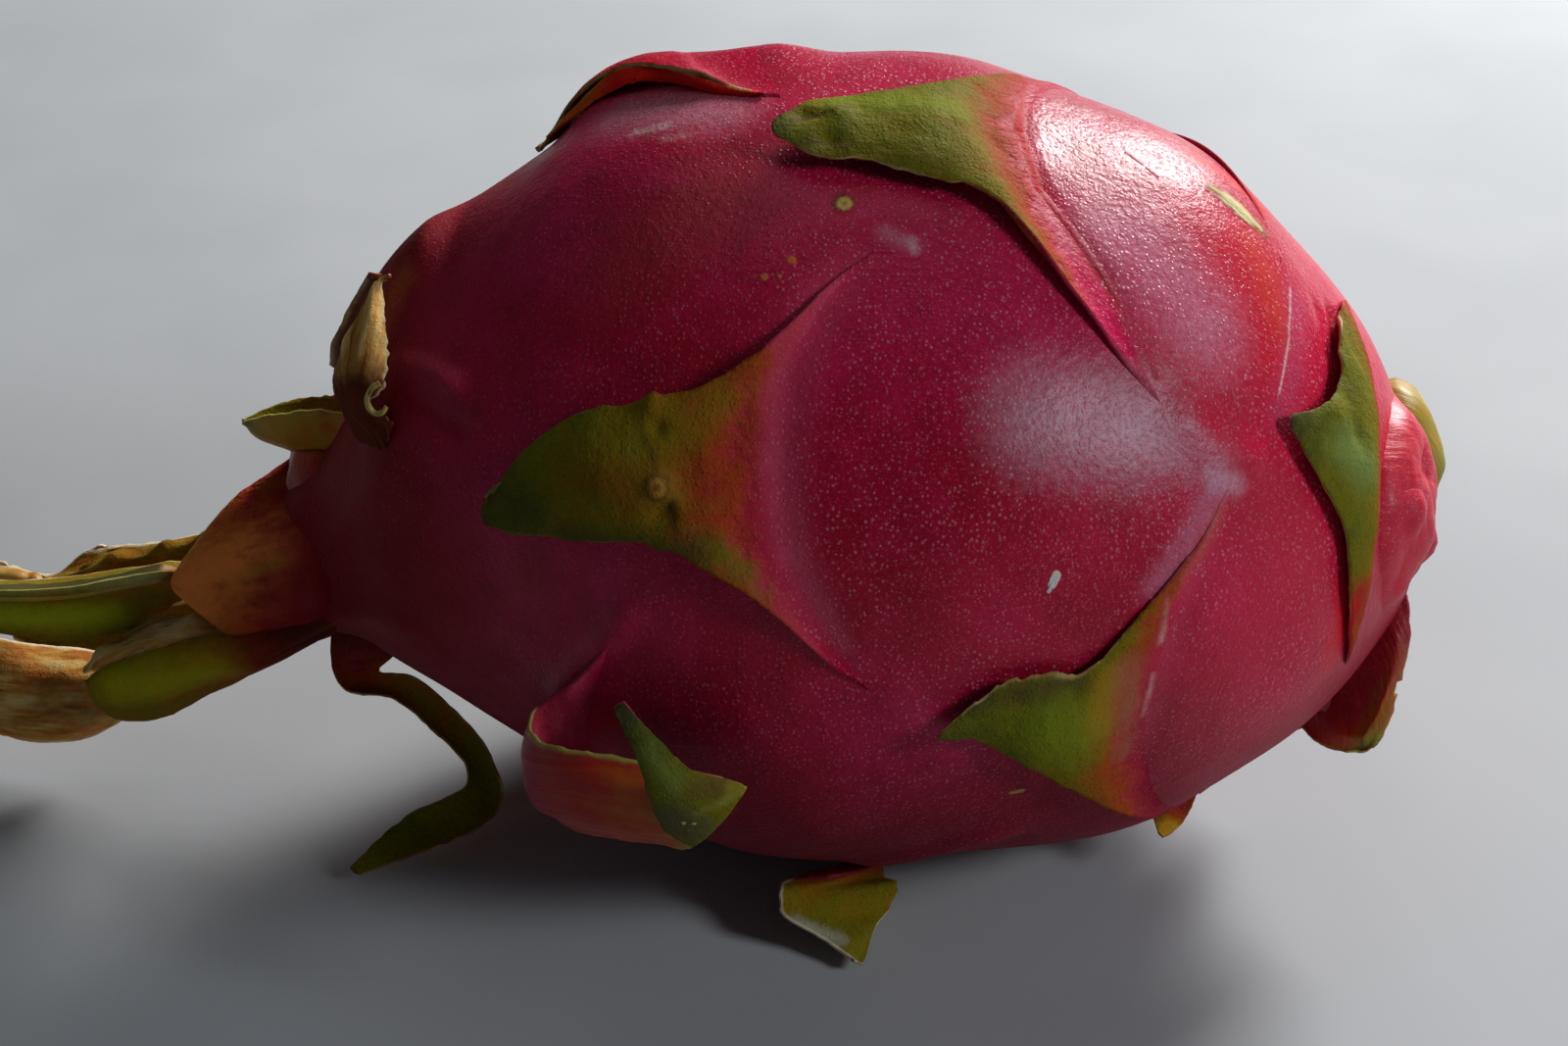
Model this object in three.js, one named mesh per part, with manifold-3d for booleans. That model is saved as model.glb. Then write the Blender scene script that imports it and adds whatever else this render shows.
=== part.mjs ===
// A dragon fruit lying on its side, in millimetres: one grown body whose skin rises into leafy scales.
// +X is the stem end, -X the crown of long bracts, +Z is up, and the origin is the middle of the
// small flat spot that the fruit rests on.
import * as THREE from "three";
import { mergeVertices } from "three/addons/utils/BufferGeometryUtils.js";
import Module from "manifold-3d";

const BODY_SECTORS = 52;
const BODY_RINGS = 38;
const CUSHION_RISE = 1.5; // how far the skin swells under each scale
const CUSHION_LENGTH = 12;
const CUSHION_WIDTH = 15;
const CUSHION_SETBACK = 20; // from a scale's root back to the top of its swelling
const PAD_DEPTH = 1; // how far a scale's pressed part reaches into the skin
const BLADE = 1.3; // thickness of a lifted blade
const PRESSED_ACROSS = 4; // divisions of a pressed scale across and along it
const PRESSED_ALONG = 9;
const FREE_ACROSS = 3; // divisions of a free one across it, and per row along it
const FREE_PER_ROW = 1.6;
const LEAST_RADIUS = 5; // of the ring that a scale's angles are taken on, near the poles
const NORMAL_STEP = 0.02; // share of a free scale over which its slope is taken
const FLOOR_BLOCK = 200;
const SCAR_RADIUS = 4.6;
const SCAR_FLARE = 1.2; // how much wider the scar is at its foot
const SCAR_LENGTH = 5;
const SCAR_SIDES = 12;

// Rings of the body from the stem end to the middle of the crown: x, radius, height, y.
const BODY = [
  [57.8, 0, 36.6, 0], [56.2, 7.8, 37, 0], [52.4, 15.4, 37.8, 0], [46.8, 22.9, 38.8, 0],
  [39.6, 29.7, 39.8, 0], [31, 35.8, 40.8, 0], [21, 39.6, 41.8, 0], [10, 41.9, 42.7, 0],
  [-1, 42.7, 42.4, 0], [-12, 42.2, 42.8, 0], [-22, 39.8, 43.4, 0], [-31, 35.4, 43.8, 0],
  [-39, 30.2, 43.8, 0], [-46, 25.6, 43.4, 0], [-51.5, 20.8, 41.8, -0.5], [-55.5, 15, 38, -1],
  [-59, 11, 34.4, -1.5], [-65, 8.8, 31.4, -2], [-72, 8, 28, -3], [-78, 6.5, 25.5, -4],
  [-82, 3.5, 24, -4.5], [-83.5, 0, 23.3, -5],
];

// Scales pressed to the skin. root: x of the root and its angle round the body in degrees (0 faces -Y,
// 90 is the top). Each row runs across the scale, from its base to its tip: the upper edge, the middle
// and the lower edge, each as distance towards the crown, distance up round the body, and height
// above the skin.
const PRESSED = [
  { name: "front", root: [-12.6, 28], rows: [
    [[-13, 25, -0.8], [-4, 0, -0.8], [-12.5, -22.5, -0.8]],
    [[-8, 20.5, 1.2], [-1.5, 0, 0.2], [-7.5, -18.5, 1.2]],
    [[-1.5, 13, 2], [2, 0, 1.2], [-1.5, -12.4, 2]],
    [[5, 8.1, 2], [7, 0.3, 2], [3.6, -8.4, 2]],
    [[11, 6.6, 2], [12, 0, 2.6], [10, -6.4, 2]],
    [[18, 4.8, 2], [19, -0.6, 2.6], [17.5, -6.4, 2]],
    [[24, 0.9, 2.3], [25, -2.3, 2.7], [24.5, -6, 2.3]],
    [[27.8, -3, 2.6], [28.4, -4.2, 2.7], [28, -5.4, 2.6]],
  ] },
  { name: "top", root: [15, 87], rows: [
    [[-12, 28, -0.8], [-2, -2, -0.8], [-13, -33, -0.8]],
    [[-5, 21, 1.2], [1.5, -3, 0.2], [-7, -28.5, 1.2]],
    [[2, 13, 2], [5, -4, 1.2], [-0.5, -21.9, 2]],
    [[7, 5, 2], [9, -5, 2], [5, -16, 2]],
    [[13, 0.5, 2], [13.5, -6.5, 2.6], [11.5, -13.6, 2]],
    [[18, -1, 2], [18, -7, 2.8], [17.5, -12.2, 2]],
    [[23, -3.4, 2.3], [23, -7.4, 2.8], [22.2, -11.4, 2.3]],
    [[26, -6.4, 2.6], [26.4, -7.6, 2.7], [26, -8.8, 2.6]],
  ] },
  { name: "low front", root: [27, -18], rows: [
    [[-8, 30.5, -0.8], [0, 7, -0.8], [-7, -24, -0.8]],
    [[-3.6, 25, 1.2], [2.5, 7.5, 0.3], [-1.5, -16, 1.2]],
    [[1, 21.3, 2], [5, 8, 1.2], [4, -8, 2]],
    [[5.4, 17.2, 2], [8.5, 8, 2], [8.6, -2.2, 2]],
    [[10.4, 13.6, 2], [12.5, 8, 2.6], [13, 2, 2]],
    [[15, 14.4, 2], [16.6, 9.4, 2.6], [16.8, 4.6, 2]],
    [[18.8, 13.2, 2.4], [19.4, 9.4, 2.7], [19.6, 6.4, 2.4]],
    [[21.2, 8.8, 2.7], [21.6, 7.9, 2.8], [21.4, 7, 2.7]],
  ] },
  { name: "stem shoulder", root: [52, 47], rows: [
    [[7.5, 16, -1], [2, -1, -1], [7, -21.5, -1]],
    [[7.6, 14.5, 1], [3.6, -1, 1.8], [7.2, -20.2, 1]],
    [[9, 12.2, 2.2], [5.2, -1.4, 3], [8, -18.4, 2]],
    [[10.8, 7, 3], [8, -2, 3], [9.4, -14.6, 2.4]],
    [[11.6, 3, 3], [11.4, -2.6, 2.8], [11, -10.4, 2.4]],
    [[14.4, -0.4, 2.6], [15, -3, 2.6], [15.4, -7.2, 2.3]],
    [[18.8, -2.8, 2.2], [19.2, -3.4, 2.2], [18.8, -4.2, 2.2]],
  ] },
  { name: "stem top", root: [36, 127], rows: [
    [[-12, 27, -0.8], [-6, -6, -0.8], [-2.5, -47, -0.8]],
    [[-7.5, 22, 1], [-3, -6, 0.2], [-4.2, -39.5, 0.6]],
    [[-1.5, 18, 1.4], [1, -4, 0.2], [-6, -32, 1]],
    [[4.5, 15.5, 1.4], [4, -1, 0.4], [-2, -24, 1.6]],
    [[9, 15, 1.4], [8, 3, 0.8], [4, -16, 1]],
    [[13.5, 15, 1.6], [13, 8, 1.2], [9.6, -4, 0.8]],
    [[18, 14.6, 1.8], [18, 9.6, 1.6], [15.6, 4, 0.8]],
    [[22.4, 13, 2], [22.6, 10.4, 1.8], [21, 7.6, 1.2]],
    [[25.6, 11.2, 2], [26, 10.6, 1.9], [25.6, 10, 1.8]],
  ] },
  { name: "back arch", root: [-17, 122], rows: [
    [[-12, 22, -0.8], [-4, 0, -0.8], [-11, -22, -0.8]],
    [[-7, 17, 1.5], [-1, -1, 0.5], [-7, -19, 1.5]],
    [[-1, 12, 2.2], [3, -2, 2], [-1, -13, 2.4]],
    [[4.5, 8, 2.6], [6.5, -2, 3], [4, -9.5, 3.4]],
    [[10, 6.5, 2.8], [10.5, -1, 4.2], [9, -7.5, 4.6]],
    [[15, 5.5, 2], [15.5, 0, 3], [14.5, -4.5, 3.6]],
    [[19.4, 4.2, 1.3], [19.8, 1.5, 1.6], [19.4, -1, 1.9]],
    [[22.4, 3, 1.1], [22.8, 2.4, 1.1], [22.6, 1.8, 1.1]],
  ] },
];

// Plain scales on the sides turned away: root, then size as a share of the plain scale, how far the
// tip lifts, how far it leans sideways, and the radius that it curls back with, if it does.
const PLAIN = [
  { name: "under stem", root: [44.5, -90], size: 0.78, lift: 1, lean: 2, curl: 0 },
  { name: "back of stem", root: [51, 184], size: 0.62, lift: 3, lean: -2, curl: 0 },
  { name: "back", root: [21, 197], size: 1, lift: 1.5, lean: -3, curl: 0 },
  { name: "middle back", root: [-2, 167], size: 1.02, lift: 4, lean: 2, curl: 0 },
  { name: "low back", root: [-17, -118], size: 0.95, lift: 2, lean: -2, curl: 0 },
  { name: "crown back", root: [-40, -153], size: 0.85, lift: 1, lean: 1, curl: 7 },
];

// The plain scale, from its base to its tip: distance towards the crown, half width and height at the
// edges, then distance and height at the middle.
const PLAIN_ROWS = [
  [-12, 24, -0.8, -4, -0.8],
  [-7.5, 19, 1.2, -1.5, 0.2],
  [-1.5, 12.6, 2, 2, 1.2],
  [4.5, 8.3, 2, 7, 2],
  [11, 6.8, 2, 11.5, 2.6],
  [18, 5.2, 2, 18.5, 2.6],
  [24, 2.6, 2, 24.5, 2.4],
  [27.5, 0.8, 2, 28, 2.1],
];
const CURL_START = 9; // how far along the plain scale its curl begins

// Scales and bracts that stand free. Each row is the upper edge, the middle and the lower edge as
// x, y, z, from inside the body out to the tip.
const FREE = [
  { name: "curled front", blade: 1.3, rows: [
    [[-27.3, -35.5, 45], [-26, -34, 36], [-27, -26, 16]],
    [[-31, -37.2, 41.4], [-30, -35.6, 34], [-31, -27, 18]],
    [[-34.9, -35.6, 34.4], [-34.6, -33.6, 27.5], [-35, -27, 20]],
    [[-34.6, -40, 35], [-35, -39, 28.6], [-34.2, -35, 22.4]],
    [[-30.7, -43.6, 36], [-31, -43, 30.6], [-30.8, -40.6, 24]],
    [[-26.4, -45.2, 36.4], [-26.6, -45.2, 31], [-26.4, -43.6, 25.2]],
    [[-20.6, -46.2, 36], [-21.4, -46.4, 31], [-22.4, -45, 26]],
    [[-13.8, -48, 35.2], [-16.2, -48.6, 31.2], [-19.3, -47.5, 27]],
    [[-17, -50, 39.4], [-19.4, -50.6, 35.6], [-22.4, -49.5, 31]],
    [[-21.4, -50.8, 43.4], [-22.6, -51.2, 41.4], [-24, -50.8, 38.8]],
    [[-25.2, -51, 46.9], [-25.8, -51, 46.6], [-26.2, -51, 46.1]],
  ] },
  { name: "under front", blade: 1.2, rows: [
    [[8.3, -33, 19], [10, -20, 10], [14, -8, 3]],
    [[3.1, -36.6, 18], [3, -24, 8.6], [6, -10, 2.6]],
    [[-2.4, -35.4, 15], [-3, -25, 7.6], [-3, -13, 1.8]],
    [[-8.6, -30, 10.4], [-5.6, -24.3, 5], [-2, -18, 1.8]],
    [[-10.6, -26, 6], [-6.4, -25.6, 4.2], [0.8, -20.4, 1.8]],
    [[-10.6, -29.4, 4.6], [-5.2, -27.8, 3.4], [1.1, -24.2, 1.8]],
    [[-6.2, -31.4, 3], [-3.3, -30.3, 2.5], [-0.4, -28.2, 1.8]],
    [[-2.8, -34, 1.8], [-2.3, -34.1, 1.7], [-1.9, -33.6, 1.6]],
  ] },
  { name: "hook under neck", blade: 1.2, rows: [
    [[-60, -7, 27], [-57.7, -4, 26], [-54, -7, 28]],
    [[-58.8, -8, 19.6], [-56.8, -6, 20], [-53.8, -8, 22.4]],
    [[-54.5, -9, 17.4], [-52.8, -8, 18.8], [-51.2, -9, 20.6]],
    [[-49.3, -10, 14], [-47.7, -10, 15.2], [-46.1, -11, 16.6]],
    [[-45.4, -12, 9.8], [-43.7, -12, 10.9], [-43, -13, 12.4]],
    [[-45, -14, 7.4], [-43.4, -14, 6.8], [-42.6, -15, 7.6]],
    [[-47.7, -15, 6], [-46.4, -15.5, 4.4], [-44.8, -16.5, 3.4]],
    [[-53.1, -17, 3.9], [-52.4, -17.5, 2.7], [-51.4, -18.5, 1.8]],
    [[-57.4, -19, 1.9], [-57.8, -19.5, 1.8], [-57.2, -19.8, 1.7]],
  ] },
  { name: "dry shoulder", blade: 1.2, rows: [
    [[-46, 8, 66], [-46, -6, 62], [-44, -17, 59]],
    [[-51, 3, 66.2], [-51, -4, 62], [-49, -14, 60]],
    [[-54.6, 2, 62], [-53, -5, 60.6], [-51.2, -9.5, 57.6]],
    [[-56.8, 1, 57.6], [-55, -5, 57.2], [-52.2, -9.5, 55]],
    [[-58.1, -1, 53.4], [-55.6, -6, 53.6], [-52.6, -9.5, 53]],
    [[-57.2, -3, 49.4], [-55.2, -7, 50.2], [-52.6, -9, 50.4]],
    [[-54.4, -6, 46.6], [-53.6, -7.5, 47], [-52.4, -8.4, 47.6]],
  ] },
  { name: "pod on neck", blade: 1.2, rows: [
    [[-55, 15, 37], [-54, 8, 37], [-54, 0, 40]],
    [[-60.3, 12.4, 43.2], [-59.7, 5, 44.4], [-58.6, 0, 42.6]],
    [[-63.7, 11.4, 43.8], [-63, 5, 45.2], [-61.9, 2, 43]],
    [[-67.6, 10.4, 43.1], [-66.8, 6.4, 44.2], [-65.9, 5.2, 42.7]],
    [[-70.4, 9, 42.6], [-70.2, 8.2, 42.8], [-69.9, 7.6, 42.4]],
  ] },
  { name: "neck collar", blade: 1.3, rows: [
    [[-58, 1, 42], [-57, -8, 38], [-59, -3, 24]],
    [[-66, 1.6, 38.6], [-64.6, -9.6, 36.4], [-65, -5.6, 23.6]],
    [[-71.2, 0.6, 35.8], [-68.6, -11.6, 36], [-67.6, -8, 24.6]],
    [[-74.4, -1, 34.4], [-72.2, -12, 35.2], [-69, -10, 26.8]],
    [[-75.4, -4, 33.6], [-74.2, -11.6, 34.4], [-72, -11, 30.2]],
    [[-75.8, -9, 33.4], [-75.5, -11, 33.6], [-75.1, -10.8, 32.8]],
  ] },
  { name: "green bract", blade: 1.4, rows: [
    [[-70, -2, 32], [-70, -5, 30], [-70, -3, 26]],
    [[-76.6, -5, 31], [-75.8, -9, 30], [-76.4, -5, 26.6]],
    [[-81.8, -5, 31], [-80.9, -9, 29.6], [-81.9, -5, 25.6]],
    [[-88.4, -5, 29.8], [-87.5, -9, 27.8], [-89.2, -5, 23.6]],
    [[-94.9, -5, 29.4], [-94.1, -8.6, 27.4], [-95.8, -5, 23.2]],
    [[-100.9, -5, 28.6], [-100.3, -7.2, 27], [-101.5, -5, 24.4]],
    [[-104.7, -5.4, 27.4], [-104.6, -6, 27.1], [-104.8, -5.4, 26.5]],
  ] },
  { name: "yellow back bract", blade: 1.3, rows: [
    [[-68, 4, 32], [-68, 0, 32], [-70, 1, 27]],
    [[-77.3, 4.6, 29.6], [-76.6, 0, 30.4], [-77.2, 0, 27]],
    [[-84.1, 4.6, 27.2], [-83.3, 0.4, 28.6], [-83.9, 0, 25.6]],
    [[-90.9, 4.6, 25], [-90, 0.4, 26.6], [-90.6, 0, 24]],
    [[-96.4, 4.6, 24.4], [-95.7, 0.8, 26], [-96.4, 0.4, 23.2]],
    [[-101.4, 4.6, 24.6], [-100.6, 1.6, 25.8], [-101.2, 1.4, 23.6]],
    [[-105.1, 3.8, 24.6], [-104.8, 3, 25], [-105.2, 3, 24]],
  ] },
  { name: "lower olive bract", blade: 1.4, rows: [
    [[-62, -6, 27], [-62, -7, 24.5], [-64, 0, 21.5]],
    [[-70, -8.6, 26.8], [-69.4, -10.4, 24.2], [-71, -5, 19]],
    [[-76, -8.8, 25.8], [-75.1, -11.6, 22.8], [-77.2, -6, 16.8]],
    [[-81, -8.6, 24], [-80.1, -11.6, 20.8], [-82.4, -6.4, 14.8]],
    [[-85.1, -8.4, 21.8], [-84.4, -11, 19.2], [-86, -7, 14.4]],
    [[-87.2, -8.6, 20], [-87.4, -10, 18.6], [-87.4, -8.2, 16.4]],
  ] },
  { name: "dry lower bract", blade: 1.3, rows: [
    [[-72, 2, 23], [-72, -2, 20.5], [-74, 3, 19]],
    [[-80, 2.4, 20], [-79.6, -2.4, 17], [-81.4, 3.6, 12.4]],
    [[-87, 2, 18.4], [-86.8, -3.4, 15], [-88.6, 3, 7.4]],
    [[-93.7, 2, 18], [-93.3, -4, 14.4], [-94.6, 2, 5]],
    [[-98.3, 3, 17.4], [-98.2, -2, 13.6], [-99.4, 2, 5.6]],
    [[-103.2, 4, 15.8], [-103, 0, 13.2], [-104, 3, 7.4]],
    [[-106.8, 5, 13.2], [-106.8, 2.4, 12.2], [-107.4, 4, 9]],
  ] },
  { name: "back bract", blade: 1.3, rows: [
    [[-60, 6, 29], [-62, 5, 26], [-62, 2, 24]],
    [[-68, 7.4, 23], [-69, 7.6, 20], [-69, 4, 18]],
    [[-77, 8.6, 19], [-78, 10, 16], [-78, 7, 13]],
    [[-86, 9.6, 16.6], [-87, 11, 13.6], [-87, 8.4, 10.4]],
    [[-94, 10.4, 15], [-95, 11.6, 12.6], [-94.6, 9.4, 10]],
    [[-100.4, 11.4, 14], [-101, 12, 13], [-100.4, 11, 12]],
  ] },
  { name: "stem flap", blade: 1.4, rows: [
    [[55, -6, 33], [50, -8, 24], [43, -4, 18.5]],
    [[57, -9.4, 30], [53, -11.4, 21.6], [46, -8.2, 15.2]],
    [[56.2, -12, 24.6], [53.6, -13.6, 18.6], [48.2, -11.4, 13.6]],
    [[54.8, -14.6, 19], [53.4, -15, 16.6], [50.8, -13.8, 13.8]],
    [[53.4, -15.8, 15.9], [52.9, -15.9, 15.3], [52.3, -15.6, 14.8]],
  ] },
  { name: "stem rim", blade: 1.4, rows: [
    [[49, 12, 50], [52, 6, 42], [55, 3, 32]],
    [[53, 8.6, 52.2], [58.8, 6, 44.4], [60, 4, 35.6]],
    [[55.4, 4, 52.6], [60.6, 3, 45.4], [61.2, 1.6, 38]],
    [[57.4, 0.8, 50.6], [60.2, 1, 46.6], [61, 0.4, 41.6]],
  ] },
];

const toRadians = THREE.MathUtils.degToRad;

// A point on the smooth curve through the rows, at t from 0 to the number of rows less one.
function curvePoint(rows, t) {
  const last = rows.length - 1;
  const i = Math.min(Math.max(Math.floor(t), 0), last - 1);
  const f = t - i;
  const p1 = rows[i];
  const p2 = rows[i + 1];
  const p0 = rows[i - 1] ?? p1.map((v, k) => 2 * v - p2[k]);
  const p3 = rows[i + 2] ?? p2.map((v, k) => 2 * v - p1[k]);
  return p1.map((v, k) => {
    const linear = p2[k] - p0[k];
    const square = 2 * p0[k] - 5 * v + 4 * p2[k] - p3[k];
    const cube = 3 * v - p0[k] - 3 * p2[k] + p3[k];
    return 0.5 * (2 * v + linear * f + square * f * f + cube * f * f * f);
  });
}

// The body's meridian as fine steps: distance from the stem end, ring values, and outward slope.
const STEPS_PER_RING = 20;
const meridian = [];
for (let k = 0; k <= STEPS_PER_RING * (BODY.length - 1); k++) {
  const ring = curvePoint(BODY, k / STEPS_PER_RING);
  const before = meridian.at(-1);
  const step = before ? Math.hypot(ring[0] - before.ring[0], ring[1] - before.ring[1]) : 0;
  meridian.push({ along: (before?.along ?? 0) + step, ring });
}
meridian.forEach((m, k) => {
  const a = meridian[Math.max(k - 1, 0)].ring;
  const b = meridian[Math.min(k + 1, meridian.length - 1)].ring;
  const length = Math.hypot(b[0] - a[0], b[1] - a[1]);
  m.values = [...m.ring, (b[1] - a[1]) / length, (a[0] - b[0]) / length];
});
const MERIDIAN_LENGTH = meridian.at(-1).along;

// The ring values and the outward normal (along X, and away from the axis) at a distance along.
function meridianAt(along) {
  let low = 0;
  let high = meridian.length - 1;
  while (high - low > 1) {
    const middle = (low + high) >> 1;
    if (meridian[middle].along <= along) low = middle;
    else high = middle;
  }
  const span = meridian[high].along - meridian[low].along;
  const f = THREE.MathUtils.clamp((along - meridian[low].along) / span, 0, 1);
  return meridian[low].values.map((v, k) => v + (meridian[high].values[k] - v) * f);
}

// The distance along the meridian of the ring at x.
function alongAt(x) {
  const k = Math.max(meridian.findIndex((m) => m.ring[0] <= x), 1);
  const [a, b] = [meridian[k - 1], meridian[k]];
  return a.along + ((x - a.ring[0]) / (b.ring[0] - a.ring[0])) * (b.along - a.along);
}

// Roots under which the skin swells: the pressed and plain scales away from the stem end, and three
// of the free ones.
const FREE_ROOTS = [[3, -73], [-31, -28], [27, -90]];
const SWELLING_END = 50;
const swellings = [...PRESSED, ...PLAIN].map((scale) => scale.root).concat(FREE_ROOTS)
  .filter(([x]) => x < SWELLING_END)
  .map(([x, angle]) => ({ along: alongAt(x) - CUSHION_SETBACK, angle }));

// How far the skin stands out from the plain body, at a distance along and an angle.
function swelling(along, angle) {
  const radius = meridianAt(along)[1];
  return swellings.reduce((height, s) => {
    const turn = THREE.MathUtils.euclideanModulo(angle - s.angle + 180, 360) - 180;
    const length = (along - s.along) / CUSHION_LENGTH;
    const width = (radius * toRadians(turn)) / CUSHION_WIDTH;
    return height + CUSHION_RISE * Math.exp(-length * length - width * width);
  }, 0);
}

// The point at a height above the skin.
function skinPoint(along, angle, height) {
  const [x, radius, z, y, outX, outR] = meridianAt(along);
  const rise = swelling(along, angle) + height;
  const reach = radius + outR * rise;
  const turn = toRadians(angle);
  return new THREE.Vector3(x + outX * rise, y - reach * Math.cos(turn), z + reach * Math.sin(turn));
}

// The point of a scale at u across it (0 at the upper edge, 1 at the lower) and t along its rows.
function rowPoint(rows, u, t) {
  const [upper, middle, lower] = [0, 1, 2].map((k) => curvePoint(rows.map((row) => row[k]), t));
  const shares = [(1 - u) * (1 - 2 * u), 4 * u * (1 - u), u * (2 * u - 1)];
  return upper.map((v, k) => v * shares[0] + middle[k] * shares[1] + lower[k] * shares[2]);
}

// Rows of a plain scale, sized, leant, lifted and curled.
function plainRows({ size, lift, lean, curl }) {
  const tip = PLAIN_ROWS.at(-1)[0];
  const place = (s, b, h) => {
    const share = Math.max(s, 0) / tip;
    const side = b + lean * share * share;
    const raised = h + lift * share * share;
    const past = s * size - CURL_START;
    if (!curl || past < 0) return [s * size, side * size, raised];
    const turn = past / curl;
    return [CURL_START + curl * Math.sin(turn), side * size, raised + curl * (1 - Math.cos(turn))];
  };
  return PLAIN_ROWS.map(([s, b, h, sMiddle, hMiddle]) => [
    place(s, b, h), place(sMiddle, 0, hMiddle), place(s, -b, h),
  ]);
}

// A closed geometry as a solid, with each of its corners moved to where place puts it.
const wasm = await Module();
wasm.setup();
function solidOf(geometry, place = (corner) => corner) {
  geometry.deleteAttribute("normal");
  geometry.deleteAttribute("uv");
  const shared = mergeVertices(geometry, 1e-4);
  const position = shared.attributes.position;
  for (let i = 0; i < position.count; i++) {
    const point = place(new THREE.Vector3().fromBufferAttribute(position, i));
    position.setXYZ(i, point.x, point.y, point.z);
  }
  return new wasm.Manifold(new wasm.Mesh({
    numProp: 3,
    vertProperties: position.array,
    triVerts: new Uint32Array(shared.index.array),
  }));
}

// A thin box as wide, thick and long as one unit, with its corners moved to their places on a scale.
function bentBlade(across, along, place) {
  const box = new THREE.BoxGeometry(1, 1, 1, across, 1, along);
  return solidOf(box, (corner) => place(corner.x + 0.5, corner.z + 0.5, corner.y > 0));
}

// A scale pressed to the skin: filled down into the skin, and free under its lifted tip.
function pressedScale(root, rows) {
  const start = alongAt(root[0]);
  return bentBlade(PRESSED_ACROSS, PRESSED_ALONG, (u, t, outer) => {
    const [s, b, h] = rowPoint(rows, u, t * (rows.length - 1));
    const radius = Math.max(meridianAt(start + s)[1], LEAST_RADIUS);
    const angle = root[1] + THREE.MathUtils.radToDeg(b / radius);
    const inner = h > BLADE + 2 * PAD_DEPTH ? h - BLADE : Math.min(-PAD_DEPTH, h - PAD_DEPTH);
    return skinPoint(start + s, angle, outer ? h : inner);
  });
}

// A scale or bract that stands free, with an even blade.
function freeScale(rows, blade) {
  const last = rows.length - 1;
  const at = (u, t) => new THREE.Vector3(...rowPoint(rows, u, t * last));
  return bentBlade(FREE_ACROSS, Math.round(FREE_PER_ROW * last), (u, t, outer) => {
    const point = at(u, t);
    if (outer) return point;
    const [u0, u1] = [Math.max(u - NORMAL_STEP, 0), Math.min(u + NORMAL_STEP, 1)];
    const [t0, t1] = [Math.max(t - NORMAL_STEP, 0), Math.min(t + NORMAL_STEP, 1)];
    const over = at(u1, t).sub(at(u0, t));
    const onward = at(u, t1).sub(at(u, t0));
    return point.addScaledVector(onward.cross(over).normalize(), -blade);
  });
}

// The body: a sphere whose rings and sectors take the places of the skin.
function bodySolid() {
  const sphere = new THREE.SphereGeometry(1, BODY_SECTORS, BODY_RINGS);
  return solidOf(sphere, (corner) => {
    const along = (Math.acos(THREE.MathUtils.clamp(corner.y, -1, 1)) / Math.PI) * MERIDIAN_LENGTH;
    const angle = THREE.MathUtils.radToDeg(Math.atan2(corner.z, corner.x));
    return skinPoint(along, angle, 0);
  });
}

// The woody scar where the fruit was cut from its stem.
function stemScar() {
  const foot = SCAR_RADIUS * SCAR_FLARE;
  const scar = new THREE.CylinderGeometry(SCAR_RADIUS, foot, SCAR_LENGTH, SCAR_SIDES);
  const [x, , z, y] = BODY[0];
  scar.rotateZ(-Math.PI / 2).translate(x - PAD_DEPTH, y, z);
  return solidOf(scar);
}

// Everything below the surface that the fruit rests on.
function floorBlock() {
  const block = new THREE.BoxGeometry(2 * FLOOR_BLOCK, FLOOR_BLOCK, FLOOR_BLOCK);
  return solidOf(block.translate(0, 0, -FLOOR_BLOCK / 2));
}

function fruitGeometry() {
  const pieces = [
    ...PRESSED.map((scale) => pressedScale(scale.root, scale.rows)),
    ...PLAIN.map((scale) => pressedScale(scale.root, plainRows(scale))),
    ...FREE.map((scale) => freeScale(scale.rows, scale.blade)),
    stemScar(),
  ];
  const grown = pieces.reduce((whole, piece) => whole.add(piece), bodySolid());
  const mesh = grown.subtract(floorBlock()).getMesh();
  const geometry = new THREE.BufferGeometry();
  geometry.setAttribute("position", new THREE.BufferAttribute(new Float32Array(mesh.vertProperties), 3));
  geometry.setIndex(new THREE.BufferAttribute(mesh.triVerts, 1));
  geometry.computeVertexNormals();
  return geometry;
}

const skin = new THREE.MeshStandardMaterial({ color: 0xa3123f, roughness: 0.38, metalness: 0 });
const fruit = new THREE.Mesh(fruitGeometry(), skin);
fruit.name = "fruit";

const dragonFruit = new THREE.Group();
dragonFruit.add(fruit);

export default dragonFruit;
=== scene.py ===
"""Looks of a whole dragon fruit that lies on its side: skin, leafy scales, crown and stem end.

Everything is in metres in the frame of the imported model: +X is the stem end, -X the crown of
bracts, +Z is up, and the origin is the middle of the flat spot. Named lengths and the tables are in
millimetres, apart from those of the camera and the lamps.
"""

import itertools
import math

import bmesh
import bpy
import numpy as np
from mathutils import Matrix, Vector


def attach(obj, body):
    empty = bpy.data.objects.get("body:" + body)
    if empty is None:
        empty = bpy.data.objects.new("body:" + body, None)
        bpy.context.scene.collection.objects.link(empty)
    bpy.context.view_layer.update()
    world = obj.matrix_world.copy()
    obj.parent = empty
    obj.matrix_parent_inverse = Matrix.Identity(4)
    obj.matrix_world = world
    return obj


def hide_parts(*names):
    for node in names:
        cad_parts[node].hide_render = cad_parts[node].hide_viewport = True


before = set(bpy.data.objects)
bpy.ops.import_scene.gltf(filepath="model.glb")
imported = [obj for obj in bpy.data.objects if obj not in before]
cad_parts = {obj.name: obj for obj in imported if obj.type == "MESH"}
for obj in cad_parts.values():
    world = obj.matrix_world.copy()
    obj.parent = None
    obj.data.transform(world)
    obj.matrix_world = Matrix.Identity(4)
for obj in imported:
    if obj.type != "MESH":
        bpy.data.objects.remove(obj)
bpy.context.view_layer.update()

MM = 0.001
CUSHION_RISE = 1.5  # how far the skin swells under each scale
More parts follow.
